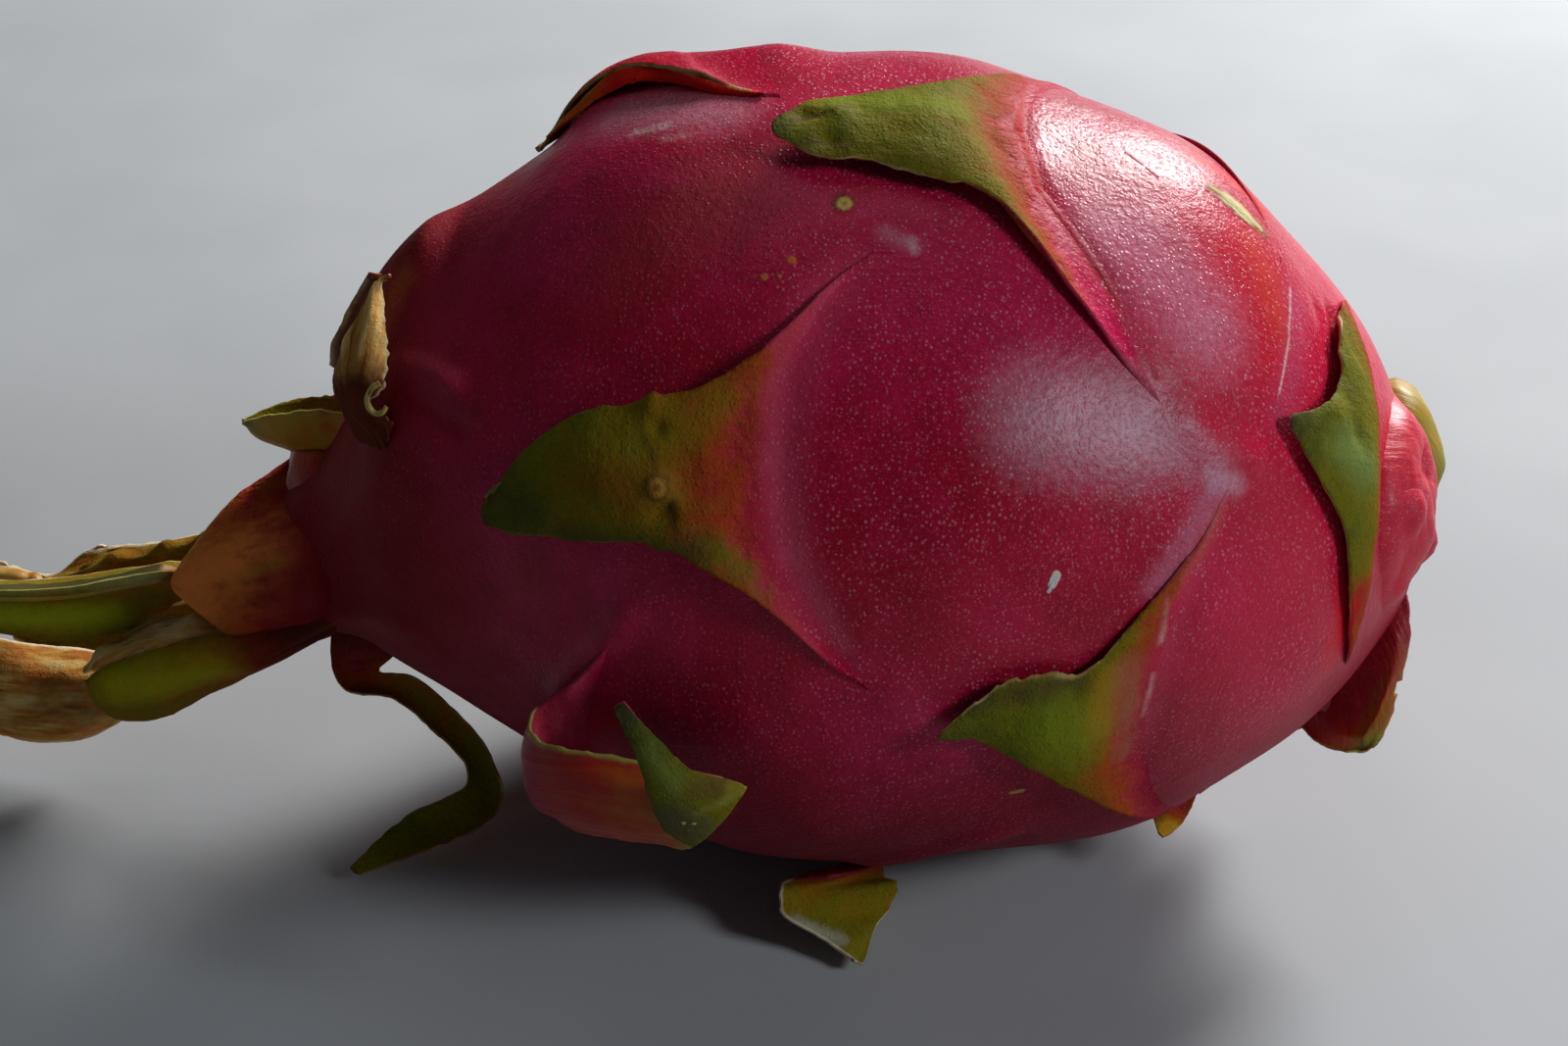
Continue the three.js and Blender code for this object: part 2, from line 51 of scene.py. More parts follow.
CUSHION_LENGTH = 12
CUSHION_WIDTH = 15
CUSHION_SETBACK = 20  # from a scale's root back to the top of its swelling
SWELLING_END = 50  # scales beyond this x have no swelling
SKIN_WAVES = ((0.28, 13, 2), (0.06, 4, 5))  # rise, size and seed of the skin's unevenness
LEAST_RADIUS = 5  # of the ring that a scale's angles are taken on, near the poles
SETTLED = 1.6  # height from which a scale stands off the skin as its rows say
SETTLE_START = 0.12  # how much of its height a scale has where it leaves the skin
BURIED_SHARE = 0.5  # how much of its depth it keeps below the skin
CURL_START = 9  # how far along a plain scale its curl begins
SCALE_THICK = 1.2  # of the scales that grow on the skin
THIN_EDGE = 0.3  # share of its thickness that a scale has at its edges and its tip
LEAF_CLEAR = 0.05  # the least height of a scale's face above the floor
BODY_CUTS = (340, 280)  # round the body and along it
FIRST_SEED, SEED_STEP = 11, 5
SCAR_RADIUS = 4.2
SCAR_LENGTH = 5
SCAR_SINK = 1.6  # how far its middle lies inside the end of the body
SCAR_RINGS = ((0.6, -0.25), (0.8, -0.4), (1.0, 0.3), (0.9, 0.1))  # width and rise of those on its face
SCAR_RIBS = ((9, 0.035), (23, 0.02))  # number and depth of the ribs round it
SCAR_FACE = 57.6  # where the skin lies flat under the scar
SCAR_CLEAR = 55.4  # where it has its full relief again

CAMERA_PLACE = (-0.0104, -0.2733, 0.2054)
CAMERA_TILT = 58  # degrees up from straight down
CAMERA_LENS = 67.5  # millimetres on a sensor 36 wide
LAMP_TARGET = (0, 0, 0.04)
# Lamps: azimuth and elevation in degrees, distance and side in metres, power and colour.
LAMPS = {
    "window": (58, 30, 0.9, 0.3, 11.5, (1.0, 0.98, 0.96)),
    "side window": (-26, 31, 1.0, 0.22, 3.6, (0.93, 0.96, 1.0)),
    "sky": (100, 70, 1.4, 0.8, 1.5, (0.92, 0.96, 1.0)),
}

# Rings of the body from the stem end to the middle of the crown: x, radius, height, y.
BODY = (
    (57.8, 0, 36.6, 0), (56.2, 7.8, 37, 0), (52.4, 15.4, 37.8, 0), (46.8, 22.9, 38.8, 0),
    (39.6, 29.7, 39.8, 0), (31, 35.8, 40.8, 0), (21, 39.6, 41.8, 0), (10, 41.9, 42.7, 0),
    (-1, 42.7, 42.4, 0), (-12, 42.2, 42.8, 0), (-22, 39.8, 43.4, 0), (-31, 35.4, 43.8, 0),
    (-39, 30.2, 43.8, 0), (-46, 25.6, 43.4, 0), (-51.5, 20.8, 41.8, -0.5), (-55.5, 15, 38, -1),
    (-59, 11, 34.6, -1.5), (-63, 8.6, 32.4, -2), (-67, 6.4, 30.6, -2.5), (-70.5, 3.8, 29.4, -3),
    (-72.5, 0, 28.8, -3.2),
)

# Scales that lie on the skin: the root as x and angle, then rows from the root to the tip. A row
# holds the upper edge, the middle and the lower edge, each as length, breadth and height off the skin.
PRESSED = {
    "front": ((-12.6, 28), (
        ((-14.5, 26, -0.8), (-6, 0, -0.8), (-14, -23.5, -0.8)),
        ((-8, 20.5, 0.7), (-1.5, 0, 0.1), (-7.5, -18.5, 0.7)),
        ((-1.5, 13, 1.6), (2, 0, 0.9), (-1.5, -12.4, 1.5)),
        ((5, 8.4, 2), (7, 0.3, 2), (3.6, -9, 2)),
        ((11, 6.6, 2), (12, 0, 2.6), (10, -6.4, 2)),
        ((18, 4.8, 2), (19, -0.6, 2.6), (17.5, -6.4, 2)),
        ((24, 0.9, 2.3), (25, -2.3, 2.7), (24.5, -6, 2.3)),
        ((27.8, -3, 2.6), (28.4, -4.2, 2.7), (28, -5.4, 2.6)),
    )),
    "top": ((15, 87), (
        ((-12, 26, -0.8), (-4, -2, -0.8), (-14.5, -33, -0.8)),
        ((-6, 19, 0.4), (0.5, -3, 0.1), (-7, -28.5, 0.8)),
        ((1, 11.5, 0.9), (5, -4, 0.8), (-0.5, -21.9, 1.6)),
        ((7, 4.4, 1.4), (9, -5, 1.8), (5, -16, 2)),
        ((13, 0.5, 1.8), (13.5, -6.5, 2.6), (11.5, -13.6, 2)),
        ((18, -1, 2), (18, -7, 2.8), (17.5, -12.2, 2)),
        ((23, -3.4, 2.3), (23, -7.4, 2.8), (22.2, -11.4, 2.3)),
        ((26, -6.4, 2.6), (26.4, -7.6, 2.7), (26, -8.8, 2.6)),
    )),
    "low_front": ((27, -18), (
        ((-9.5, 33.4, -0.8), (-1.5, 7, -0.8), (-8.5, -24, -0.8)),
        ((-4.8, 26.6, 0.6), (2, 7.5, 0.1), (-2.5, -17, 0.8)),
        ((-0.4, 22.6, 0.9), (5, 8, 1), (3.4, -8.6, 1.5)),
        ((4.4, 18.6, 1.1), (8.5, 8, 1.9), (8.4, -2.4, 1.8)),
        ((9.2, 14.6, 1.3), (12.5, 8.4, 2.2), (13, 2.4, 1.8)),
        ((14.4, 14.8, 1.4), (16.6, 10, 2.1), (16.6, 5.6, 1.6)),
        ((18.8, 13.4, 1.6), (19.8, 10.6, 2), (20, 8.2, 1.7)),
        ((22.9, 10, 1.9), (23.3, 9.5, 2), (23.4, 9, 1.9)),
    )),
    "stem_shoulder": ((52, 47), (
        ((5.6, 21, -1), (3, -1, -1), (7, -27, -1)),
        ((6.8, 18.6, 0.5), (4.4, -1, 1), (8.6, -25.4, 0.8)),
        ((9.2, 14.6, 1.3), (6.2, -1.4, 1.9), (9.8, -21.6, 1.2)),
        ((11.8, 8, 1.8), (9, -2, 2.3), (11, -16, 1.4)),
        ((12.6, 3.6, 1.7), (12.4, -2.6, 2.3), (12.2, -11, 1.5)),
        ((15.8, -0.2, 1.6), (16.2, -3, 2), (16.4, -7, 1.5)),
        ((20.3, -2.2, 1.5), (20.7, -2.8, 1.6), (20.5, -3.4, 1.5)),
    )),
    "stem_top": ((36, 127), (
        ((-12, 27, -0.8), (-12, -6, -0.8), (-4.6, -31, -0.8)),
        ((-7.5, 22, 0.8), (-7, -4, 0.1), (-4, -27.6, -0.6)),
        ((-1.5, 18, 1.2), (-2, -2, 0.2), (-4, -24, -0.4)),
        ((4.5, 15.5, 1.4), (2, 0, 0.4), (-1.4, -20.4, 0.4)),
        ((9, 15, 1.4), (7, 3, 0.8), (3.4, -15, 0.9)),
        ((13.5, 15, 1.3), (12, 7, 0.8), (9, -5, 0.4)),
        ((18, 14.6, 1.3), (17.4, 9.6, 1), (15.6, 4, 0.4)),
        ((22.4, 13, 1.3), (22.6, 10.4, 1), (21, 7.6, 0.5)),
        ((25.6, 11.2, 1.2), (26, 10.6, 1), (25.6, 10, 0.8)),
    )),
    "back_arch": ((-17, 122), (
        ((-12, 22, -0.8), (-8, 0, -0.8), (-10, -26, -0.8)),
        ((-7, 17, 0.8), (-3, -3, 0.3), (-3.4, -22.4, 0.7)),
        ((-1, 12, 1.2), (2, -4, 1), (0.6, -18.8, 1.5)),
        ((4.5, 8, 1.6), (5.5, -4, 1.8), (5, -14.6, 2.1)),
        ((9.5, 5.5, 1.6), (10, -3, 2.4), (9.4, -10, 2.4)),
        ((14, 3, 1.4), (14.2, -3, 2.2), (13.6, -8, 2)),
        ((18, 0, 1.2), (18.2, -3.6, 1.5), (17.6, -7, 1.5)),
        ((21.6, -4.6, 0.9), (21.8, -5.4, 1), (21.2, -7, 0.9)),
    )),
}

# Bracts and blades that stand free: the thickness, then rows from the root to the tip. A row holds
# the upper edge, the middle and the lower edge, each as x, y and z.
FREE = {
    "arch_band": (0.9, (
        ((-12.4, 0.5, 85.5), (-12.4, -0.1, 85.6), (-12.4, 0.3, 85.2)),
        ((-14.4, 1.5, 85.4), (-14.3, 0.8, 85.3), (-14.4, 1, 84.8)),
        ((-17.1, 4, 85.2), (-17.1, 2.8, 84.9), (-17.1, 2.6, 84.2)),
        ((-20.2, 6.4, 85.1), (-19.9, 5.4, 84.6), (-19.6, 5.4, 83.7)),
        ((-22.8, 9, 84.5), (-22.1, 7.7, 84.1), (-21.5, 7.4, 83.3)),
        ((-25.3, 11, 83.9), (-24.6, 9.3, 83.7), (-24.1, 8.6, 83.1)),
        ((-27.6, 12.4, 83.1), (-26.8, 10.4, 83), (-26.1, 9.4, 82.6)),
        ((-29.1, 13, 81.8), (-28.5, 11.1, 81.9), (-27.9, 10.2, 81.5)),
        ((-31, 13, 80), (-30.6, 11.5, 80.1), (-30.3, 11, 79.7)),
        ((-32.7, 12.6, 78.4), (-32.4, 11.3, 78.4), (-32.2, 11, 77.9)),
        ((-34.1, 11.6, 77.2), (-33.9, 10.7, 77.3), (-33.7, 10.8, 76.9)),
        ((-35.5, 10.6, 75.9), (-35.3, 9.9, 76.1), (-35.2, 10.2, 75.9)),
    )),
    "curled_front": (1.2, (
        ((-24.6, -37, 50), (-25.6, -33.6, 40), (-25, -28, 20)),
        ((-27.6, -38.2, 44), (-27, -33.8, 35), (-28, -27, 17)),
        ((-31.4, -37.6, 39.2), (-30.6, -33.4, 31), (-31.4, -26.8, 18)),
        ((-34.9, -36.6, 35.6), (-34.6, -33.4, 28), (-35, -27, 20)),
        ((-34.6, -40, 35), (-35, -39, 28.6), (-34.2, -35, 22.4)),
        ((-30.7, -43.6, 36), (-31, -43, 30.6), (-30.8, -40.6, 24)),
        ((-26.4, -45.2, 36.4), (-26.6, -45.2, 31), (-26.4, -43.6, 25.2)),
        ((-20.6, -46.2, 36), (-21.4, -46.4, 31), (-22.4, -45, 26)),
        ((-13.8, -48, 35.2), (-16.2, -48.6, 31.2), (-19.3, -47.5, 27)),
        ((-18.4, -50, 38), (-20, -50.6, 35.2), (-22.2, -49.5, 31.2)),
        ((-22.4, -50.8, 42.8), (-23.2, -51.2, 41.2), (-24, -50.8, 39.2)),
        ((-25.2, -51, 46.9), (-25.8, -51, 46.6), (-26.2, -51, 46.1)),
    )),
    "under_front": (1.1, (
        ((3, -29.2, 12.2), (8, -18, 8), (13, -8, 3.4)),
        ((-2, -29.4, 9.6), (2, -20, 6.6), (7, -10, 2.6)),
        ((-6.4, -30.2, 9.4), (-2.6, -24, 5.6), (2, -15, 2)),
        ((-10.2, -28.4, 7.2), (-5.6, -25.4, 4.8), (0.6, -20.4, 2)),
        ((-10.8, -29, 5.4), (-5.2, -26.6, 4.2), (2, -23.4, 3.4)),
        ((-10, -31, 4.8), (-5, -29, 2.9), (1.2, -25.4, 1.8)),
        ((-6.2, -32.4, 3.2), (-3.3, -31.2, 2.2), (-0.6, -29, 1.7)),
        ((-2.8, -34.6, 1.8), (-2.3, -34.8, 1.7), (-1.9, -34.4, 1.6)),
    )),
    "hook_under_neck": (1, (
        ((-60, -4, 25.6), (-56, -4, 25.4), (-51, -4, 24.4)),
        ((-60.4, -6, 21), (-58, -5.6, 21.2), (-53.4, -5.6, 21)),
        ((-59, -7, 17.4), (-57.2, -6, 17.7), (-55.3, -6, 18.9)),
        ((-53.5, -8, 17), (-52.3, -7, 17.4), (-50.9, -8, 19.1)),
        ((-50, -9, 14.2), (-48.2, -8, 14.1), (-46.5, -9, 15.3)),
        ((-47.1, -10, 11.6), (-45.5, -9, 11.3), (-43.8, -10, 12.1)),
        ((-45.5, -11, 9.6), (-44, -10.5, 8.9), (-42.3, -12, 9.7)),
        ((-45.6, -13, 8.2), (-43.6, -12.5, 6.9), (-41.8, -14, 7.3)),
        ((-48.5, -14.5, 7.5), (-46.2, -14.5, 5.8), (-44.2, -16, 5.2)),
        ((-53.2, -16, 5.4), (-51.4, -16.5, 4.1), (-50, -18, 3.3)),
        ((-58.2, -19, 1.9), (-57.8, -19.6, 1.8), (-57, -20.1, 1.7)),
    )),
    "shoulder_back": (0.9, (
        ((-51.2, -8, 69.4), (-51.6, -8.2, 69.5), (-52.2, -8, 69.5)),
        ((-52, -8, 67), (-52.6, -8.2, 67.4), (-53.4, -8, 67.6)),
        ((-52.4, -8, 65), (-53.4, -8.4, 65.4), (-54.4, -8, 65.6)),
        ((-52.8, -8.4, 62.8), (-54, -9, 63.2), (-55.4, -8.4, 63.4)),
        ((-53, -9, 60.8), (-54.6, -9.6, 61.4), (-56.4, -8.6, 61.6)),
        ((-53, -10, 58.4), (-54.8, -10.4, 59), (-56.8, -9, 59.4)),
    )),
    "dry_shoulder": (1.1, (
        ((-50.4, -9, 69.4), (-50.2, -9.4, 69.7), (-49.9, -9, 69.5)),
        ((-51.8, -9, 68.8), (-51.4, -9.6, 69.1), (-50.9, -9, 68.8)),
        ((-52.3, -11, 68), (-51.5, -11.8, 68.4), (-50.6, -11, 67.6)),
        ((-53.6, -12, 65.8), (-51.7, -14.4, 67.2), (-50.3, -13.4, 66.2)),
        ((-54.7, -13, 64.1), (-52.2, -16, 65.5), (-50, -15, 64.6)),
        ((-55.9, -13, 60.9), (-52.7, -17.6, 63.2), (-49.8, -17, 63.3)),
        ((-56.3, -12, 57.9), (-53.2, -17.5, 61), (-50.5, -18.6, 61.9)),
        ((-55.9, -11, 55), (-53.9, -16, 57.7), (-52, -17.6, 59)),
        ((-55.1, -11, 53), (-52.5, -17, 56.1), (-49.8, -19, 58.2)),
        ((-53.7, -13, 52.1), (-51.6, -17.5, 54.6), (-50, -19, 56.2)),
        ((-51.5, -17, 52.9), (-51.1, -18, 53.4), (-50.6, -18.4, 54)),
    )),
    "curl_lip": (0.4, (
        ((-50.1, -20, 63.2), (-50.1, -20.4, 63.5), (-50.4, -20, 63.6)),
        ((-50.9, -20, 62.7), (-51, -20.4, 63), (-51.3, -20, 62.9)),
        ((-51.5, -19.6, 61.6), (-51.6, -20, 61.7), (-51.9, -19.6, 61.5)),
        ((-51.5, -19.4, 60.5), (-51.6, -19.8, 60.5), (-51.8, -19.4, 60.2)),
        ((-51, -19.6, 59.9), (-51, -20, 59.9), (-51.1, -19.6, 59.6)),
        ((-50.3, -20, 60.2), (-50.2, -20.4, 60.2), (-50.2, -20, 60)),
        ((-49.8, -20, 60.8), (-49.8, -20.2, 60.8), (-49.7, -20, 60.7)),
    )),
    "pod_on_neck": (1.1, (
        ((-56.5, 8, 45.6), (-54.9, 0, 42.6), (-53.6, -6, 50.9)),
        ((-59.2, 9, 45.5), (-58.8, 2, 42.1), (-56.9, -4, 50.8)),
        ((-62.3, 9, 45.5), (-62.1, 3, 42.5), (-60.2, -3, 50.5)),
        ((-64.8, 8, 45.6), (-64.6, 3, 43.6), (-63.1, -1.6, 49.6)),
        ((-67.2, 6, 45.6), (-67, 3, 44.7), (-66.1, 0.4, 48)),
        ((-69, 3.4, 45.7), (-69.1, 3, 45.7), (-68.8, 2.4, 46.2)),
    )),
    "pod_stalk": (1.2, (
        ((-65.4, 2, 37.6), (-60.6, -5, 40.4), (-54.7, -8, 43.7)),
        ((-64.3, 3, 40), (-61.3, -2, 42.3), (-56.9, -4, 44)),
        ((-63.9, 4, 42.4), (-61, 0, 44), (-57.5, -2, 44.9)),
    )),
    "neck_collar": (1.3, (
        ((-54, 4, 45), (-54, -12.6, 38), (-54.6, -2, 25)),
        ((-59, 6, 43.4), (-60, -13, 36.4), (-60.4, -4.6, 22.8)),
        ((-67, 3, 39.2), (-67, -13.2, 35), (-66.4, -8.6, 24)),
        ((-70.8, 0.6, 37.4), (-70.8, -13, 34.6), (-68.6, -10.8, 26)),
        ((-73.6, -3, 35.4), (-73.6, -12.4, 34), (-71.4, -11.4, 28.8)),
        ((-75.8, -8.6, 33.8), (-75.8, -10.8, 33.4), (-75, -10.8, 32)),
    )),
    "green_bract": (1.3, (
        ((-66, -1, 31), (-66, -5, 31.9), (-66, -3, 27.2)),
        ((-75.6, -1, 30.3), (-74, -6.5, 32.2), (-75.8, -4, 27.2)),
        ((-78.8, -1, 30.2), (-77.3, -8.5, 33.8), (-78.6, -5, 26)),
        ((-83.9, -1, 29.2), (-81.9, -9, 33.1), (-82.6, -5.5, 24)),
        ((-90.5, -1, 28), (-88.4, -9, 31.9), (-89.2, -5.5, 22.8)),
        ((-97, -1, 28), (-94.7, -9, 31.6), (-96.6, -5.5, 23.9)),
        ((-102, -2, 28.3), (-101, -7.6, 30.6), (-101.6, -5.2, 25.4)),
        ((-105.2, -5, 28.6), (-105.2, -5.8, 28.9), (-105.4, -5.4, 27.9)),
    )),
    "yellow_back_bract": (1.3, (
        ((-66, 4, 33.4), (-66, 0, 34.4), (-66, 0, 31.2)),
        ((-71, 5.4, 32.6), (-70.4, 0.6, 34), (-71, 0.6, 30.6)),
        ((-76.1, 6, 29.6), (-75.1, 1.5, 31.2), (-75.5, 1.5, 27.7)),
        ((-82.1, 6, 27.9), (-81.1, 1.5, 29.4), (-81.6, 2, 26.1)),
        ((-87.8, 6, 26.6), (-86.7, 1.5, 28.1), (-87.2, 2, 25.2)),
        ((-93.6, 6, 24.3), (-92.4, 1.5, 26.1), (-92.8, 2, 23.8)),
        ((-99, 6, 25.6), (-97.8, 1.5, 26.7), (-98.3, 2, 24.1)),
        ((-103, 5.4, 25.8), (-102.6, 2.4, 26.4), (-102.8, 2.4, 24.6)),
        ((-105.6, 4, 25.6), (-105.6, 3.4, 25.7), (-105.6, 3.2, 25.2)),
    )),
    "lower_olive_bract": (1.3, (
        ((-52, -7, 33), (-52, -9, 31), (-54, -4, 28)),
        ((-60, -9.8, 30.6), (-60, -11.6, 28), (-61.4, -6.6, 23.6)),
        ((-66.9, -12.2, 29.1), (-66.8, -13.8, 25.6), (-68.1, -8, 20.5)),
        ((-71.9, -12, 28.3), (-72.8, -13.8, 25), (-73.8, -8, 17.5)),
        ((-77.6, -11, 25.7), (-78.6, -13.2, 22.4), (-78.9, -8, 14.3)),
        ((-82.9, -10, 23.1), (-83.6, -12, 20.6), (-83.9, -8, 13.5)),
        ((-85.5, -10, 21.8), (-85.9, -11, 20), (-86.5, -8.5, 15.6)),
        ((-86.7, -10, 20.7), (-86.9, -10, 20.3), (-86.9, -9.6, 19.3)),
    )),
    "tan_curl": (1, (
        ((-64, -8, 28.7), (-64.4, -10, 28.5), (-65, -11, 27.9)),
        ((-67.4, -9, 29), (-67.7, -11, 29), (-68, -12, 28.3)),
        ((-73.4, -8, 27.5), (-73.3, -10.4, 27.9), (-73.8, -11, 26.6)),
        ((-77.5, -7, 26.6), (-77.7, -9.6, 26.7), (-78.3, -10.4, 25.2)),
        ((-81.8, -6, 24.4), (-81.9, -9, 24.7), (-82.5, -9.6, 23.2)),
        ((-85.3, -6, 22), (-85.2, -8.6, 22.6), (-85.4, -9, 21.5)),
        ((-87.7, -7, 20.5), (-87.6, -8, 20.6), (-87.6, -8.4, 20.1)),
    )),
    "dry_lower_bract": (1.2, (
        ((-66, 0, 25), (-66, -3, 25), (-68, 0, 22)),
        ((-75.1, 2, 20.5), (-74.7, -3, 21.4), (-76.8, 2, 15.6)),
        ((-86.3, 3, 15.6), (-85.2, -4, 15.6), (-87.5, 2, 6.3)),
        ((-91.5, 2, 16.7), (-91.3, -5, 15.6), (-92.9, 1, 4.2)),
        ((-96.6, 1, 18.6), (-96.6, -6, 16.7), (-98.8, 0, 5.1)),
        ((-102, 2, 18.2), (-101.8, -4, 16.6), (-103.2, 1, 6.3)),
        ((-106.8, 4, 14.2), (-106.6, 1, 13.6), (-107.2, 3, 9)),
    )),
    "back_bract": (1.3, (
        ((-60, 6, 29), (-62, 5, 26), (-62, 2, 24)),
        ((-68, 7.4, 23), (-69, 7.6, 20), (-69, 4, 18)),
        ((-77, 8.6, 19), (-78, 10, 16), (-78, 7, 13)),
        ((-86, 9.6, 16.6), (-87, 11, 13.6), (-87, 8.4, 10.4)),
        ((-94, 10.4, 15), (-95, 11.6, 12.6), (-94.6, 9.4, 10)),
        ((-100.4, 11.4, 14), (-101, 12, 13), (-100.4, 11, 12)),
    )),
    "stem_flap": (1.4, (
        ((55, -6, 33), (50, -8, 24), (43, -4, 18.5)),
        ((57, -9.4, 30), (53, -11.4, 21.6), (46, -8.2, 15.2)),
        ((56.2, -12, 24.6), (53.6, -13.6, 18.6), (48.2, -11.4, 13.6)),
        ((54.8, -14.6, 19), (53.4, -15, 16.6), (50.8, -13.8, 13.8)),
        ((53.4, -15.8, 15.9), (52.9, -15.9, 15.3), (52.3, -15.6, 14.8)),
    )),
    "stem_rim": (1.4, (
        ((50.4, 8, 47), (48.6, -13, 46.4), (48.6, -14, 30.3)),
        ((52.8, 6, 48.4), (51, -14, 47.2), (51, -14, 30)),
        ((54.7, 4, 49.1), (53, -13, 46.8), (52.9, -13, 30.1)),
        ((56.6, 2, 47.5), (55.2, -11, 45.5), (54.9, -11, 30.5)),
        ((57.8, 0, 45), (57, -8, 43.1), (56.6, -8, 31.3)),
        ((58.6, -1, 41.9), (58.4, -4, 40.3), (58.5, -4, 32.5)),
    )),
    "stem_band": (1.3, (
        ((52, 14, 43.4), (51, 10, 42.9), (51, 8, 37.8)),
        ((56.4, 14, 44), (55, 10, 43.2), (55.1, 8, 37.4)),
        ((57.9, 13, 45.2), (57.1, 6, 44), (58.4, 4, 36.4)),
        ((60.1, 12, 43.8), (59, 5, 42.6), (59.4, 3, 35.5)),
        ((61.7, 10, 40.4), (60.9, 5, 39.6), (60.3, 3, 35)),
        ((62.2, 8, 37.3), (61.7, 5, 37.3), (61, 3.5, 35.7)),
    )),
    "under_stem_tip": (0.9, (
        ((34.6, -12.4, 9), (35.4, -13, 9.8), (36, -13, 10.6)),
        ((32, -15, 8.4), (33.2, -16, 7.6), (33.9, -16.6, 7)),
        ((30.2, -17, 7.8), (31.4, -18, 7.4), (32.2, -19, 7)),
        ((30.3, -19.6, 7.3), (30.6, -19.9, 7.2), (30.9, -20.2, 7)),
    )),
}

# Plain scales: the root as x and angle, the size, how far the tip is lifted and how far it leans,
# and the radius that it curls up with, or 0.
PLAIN = {
    "under_stem": ((45, -84), 0.5, -0.2, 14, 0),
    "back_of_stem": ((51, 184), 0.62, 3, -2, 0),
    "back": ((21, 197), 1, 1.5, -3, 0),
    "middle_back": ((-2, 167), 1.02, 4, 2, 0),
    "low_back": ((-17, -118), 0.95, 2, -2, 0),
    "crown_back": ((-40, -153), 0.85, 1, 1, 7),
}

# Half a plain scale from the root to the tip: length, breadth and height of the edge, then length
# and height of the middle.
PLAIN_ROWS = (
    (-12, 24, -0.8, -4, -0.8),
    (-7.5, 19, 1.2, -1.5, 0.2),
    (-1.5, 12.6, 2, 2, 1.2),
    (4.5, 8.3, 2, 7, 2),
    (11, 6.8, 2, 11.5, 2.6),
    (18, 5.2, 2, 18.5, 2.6),
    (24, 2.6, 2, 24.5, 2.4),
    (27.5, 0.8, 2, 28, 2.1),
)

# Folds (rise above 0) and creases (below 0) of the skin: points as x and angle, rise, half width,
# and their tint, from deep red painted shade (-1) to pale pink with a painted highlight (1).
FOLDS = {
    "hump_under_arch": (((-4, 112), (-20, 111), (-36, 112)), 1.7, 7, 0),
    "hump_at_shoulder": (((-44, 90), (-50, 93), (-56, 96)), 2.1, 7, 0),
    "arm_of_curled_scale": (((-23, 13), (-27.3, 2), (-32, -10), (-34, -20)), 0.7, 1.6, 0.25),
    "arm_of_under_scale": (((15.7, -32.8), (8.1, -37), (2, -43), (-5.4, -47.7)), 0.9, 2, 0.4),
    "arm_of_shoulder_scale": (((-50.6, 60), (-47.6, 52.5), (-44.6, 47), (-41, 41)), 0.9, 1.2, 0.8),
    "stem_fold": (((45.5, 84.9), (46.1, 73.1), (46, 61)), -0.6, 1, -1),
    "outer_stem_fold": (((43.4, 78.5), (44.2, 69.4), (44.6, 59)), -0.4, 0.9, -0.8),
    "rib_below_front_scale": (((-2.9, 1.6), (2.9, -5.9), (9, -16.8)), 0.35, 3, 0.3),
    "rib_to_stem": (((25.2, 42.8), (31.7, 33.8), (37.5, 34)), 0.5, 2.4, 0.3),
    "neck_rib": (((-46, 30), (-54, 24), (-62, 14)), 0.5, 2.4, 0),
    "low_neck_rib": (((-46, -14), (-54, -20), (-62, -26)), 0.5, 2.2, 0),
    "front_crease": (((-1, 61.2), (-2.9, 59.4), (-6.7, 52.4), (-9.3, 44.4), (-10.4, 35.6),
                      (-10.7, 26.9), (-10.1, 19.4), (-8.1, 12.4), (-5.3, 6.5), (-2.4, 1.6)),
                     -0.25, 1.8, 0.9),
    "top_crease": (((14.6, 118), (14.2, 98), (13.4, 90), (13, 83.8), (13.6, 76), (14.6, 71.2),
                    (17, 64.8), (20, 58.6), (22.6, 51.4), (25.2, 43)), -0.2, 1, -1),
    "low_crease": (((33.5, 29), (31.3, 19.5), (28, 10.4), (26.8, 0.7), (26.2, -10.5),
                    (25.7, -22.4), (25, -34.3)), -0.25, 1.6, 0.6),
    "shoulder_crease": (((-50, 50), (-47, 42), (-44, 37), (-40, 32)), -0.6, 1.6, -0.6),
}

# How each scale looks. green: the change from skin (0) over orange and olive to the dark tip (1), at
# shares of its length. dry: papery share of the base and the tip. flush: brown red share of the base
# and the tip. rim: papery share of the upper and the lower edge, and rim_span where it starts, is
# full and, if it does, starts to fade and ends. chalk and green_rim: how white and how green the rim
# is. ragged: depth of the nicks in its edges. ripple: how far they wave. lumpy: share of the small
# lumps. strands: share of the pale strands at its base. fold: how sharply it is folded along its
# middle. cuts: along it and across it. lumps: a place, a radius and a rise of its face. nicks: a
# place, a radius and how far the edge draws in.
USUAL_LOOK = dict(
    dry=(0, 0), flush=(0, 0), rim=(0.5, 0.5), rim_span=(0.3, 0.5), chalk=0, green_rim=0, ragged=0.2,
    ripple=0.22, lumpy=1, strands=1, fold=0, cuts=(120, 36), lumps=(), nicks=(), slot="green_tips")
PLAIN_LOOK = dict(
    green=((0.2, 0), (0.45, 0.35), (0.6, 0.6), (0.85, 0.8), (1, 0.97)),
    rim_span=(0.45, 0.7), cuts=(90, 30))
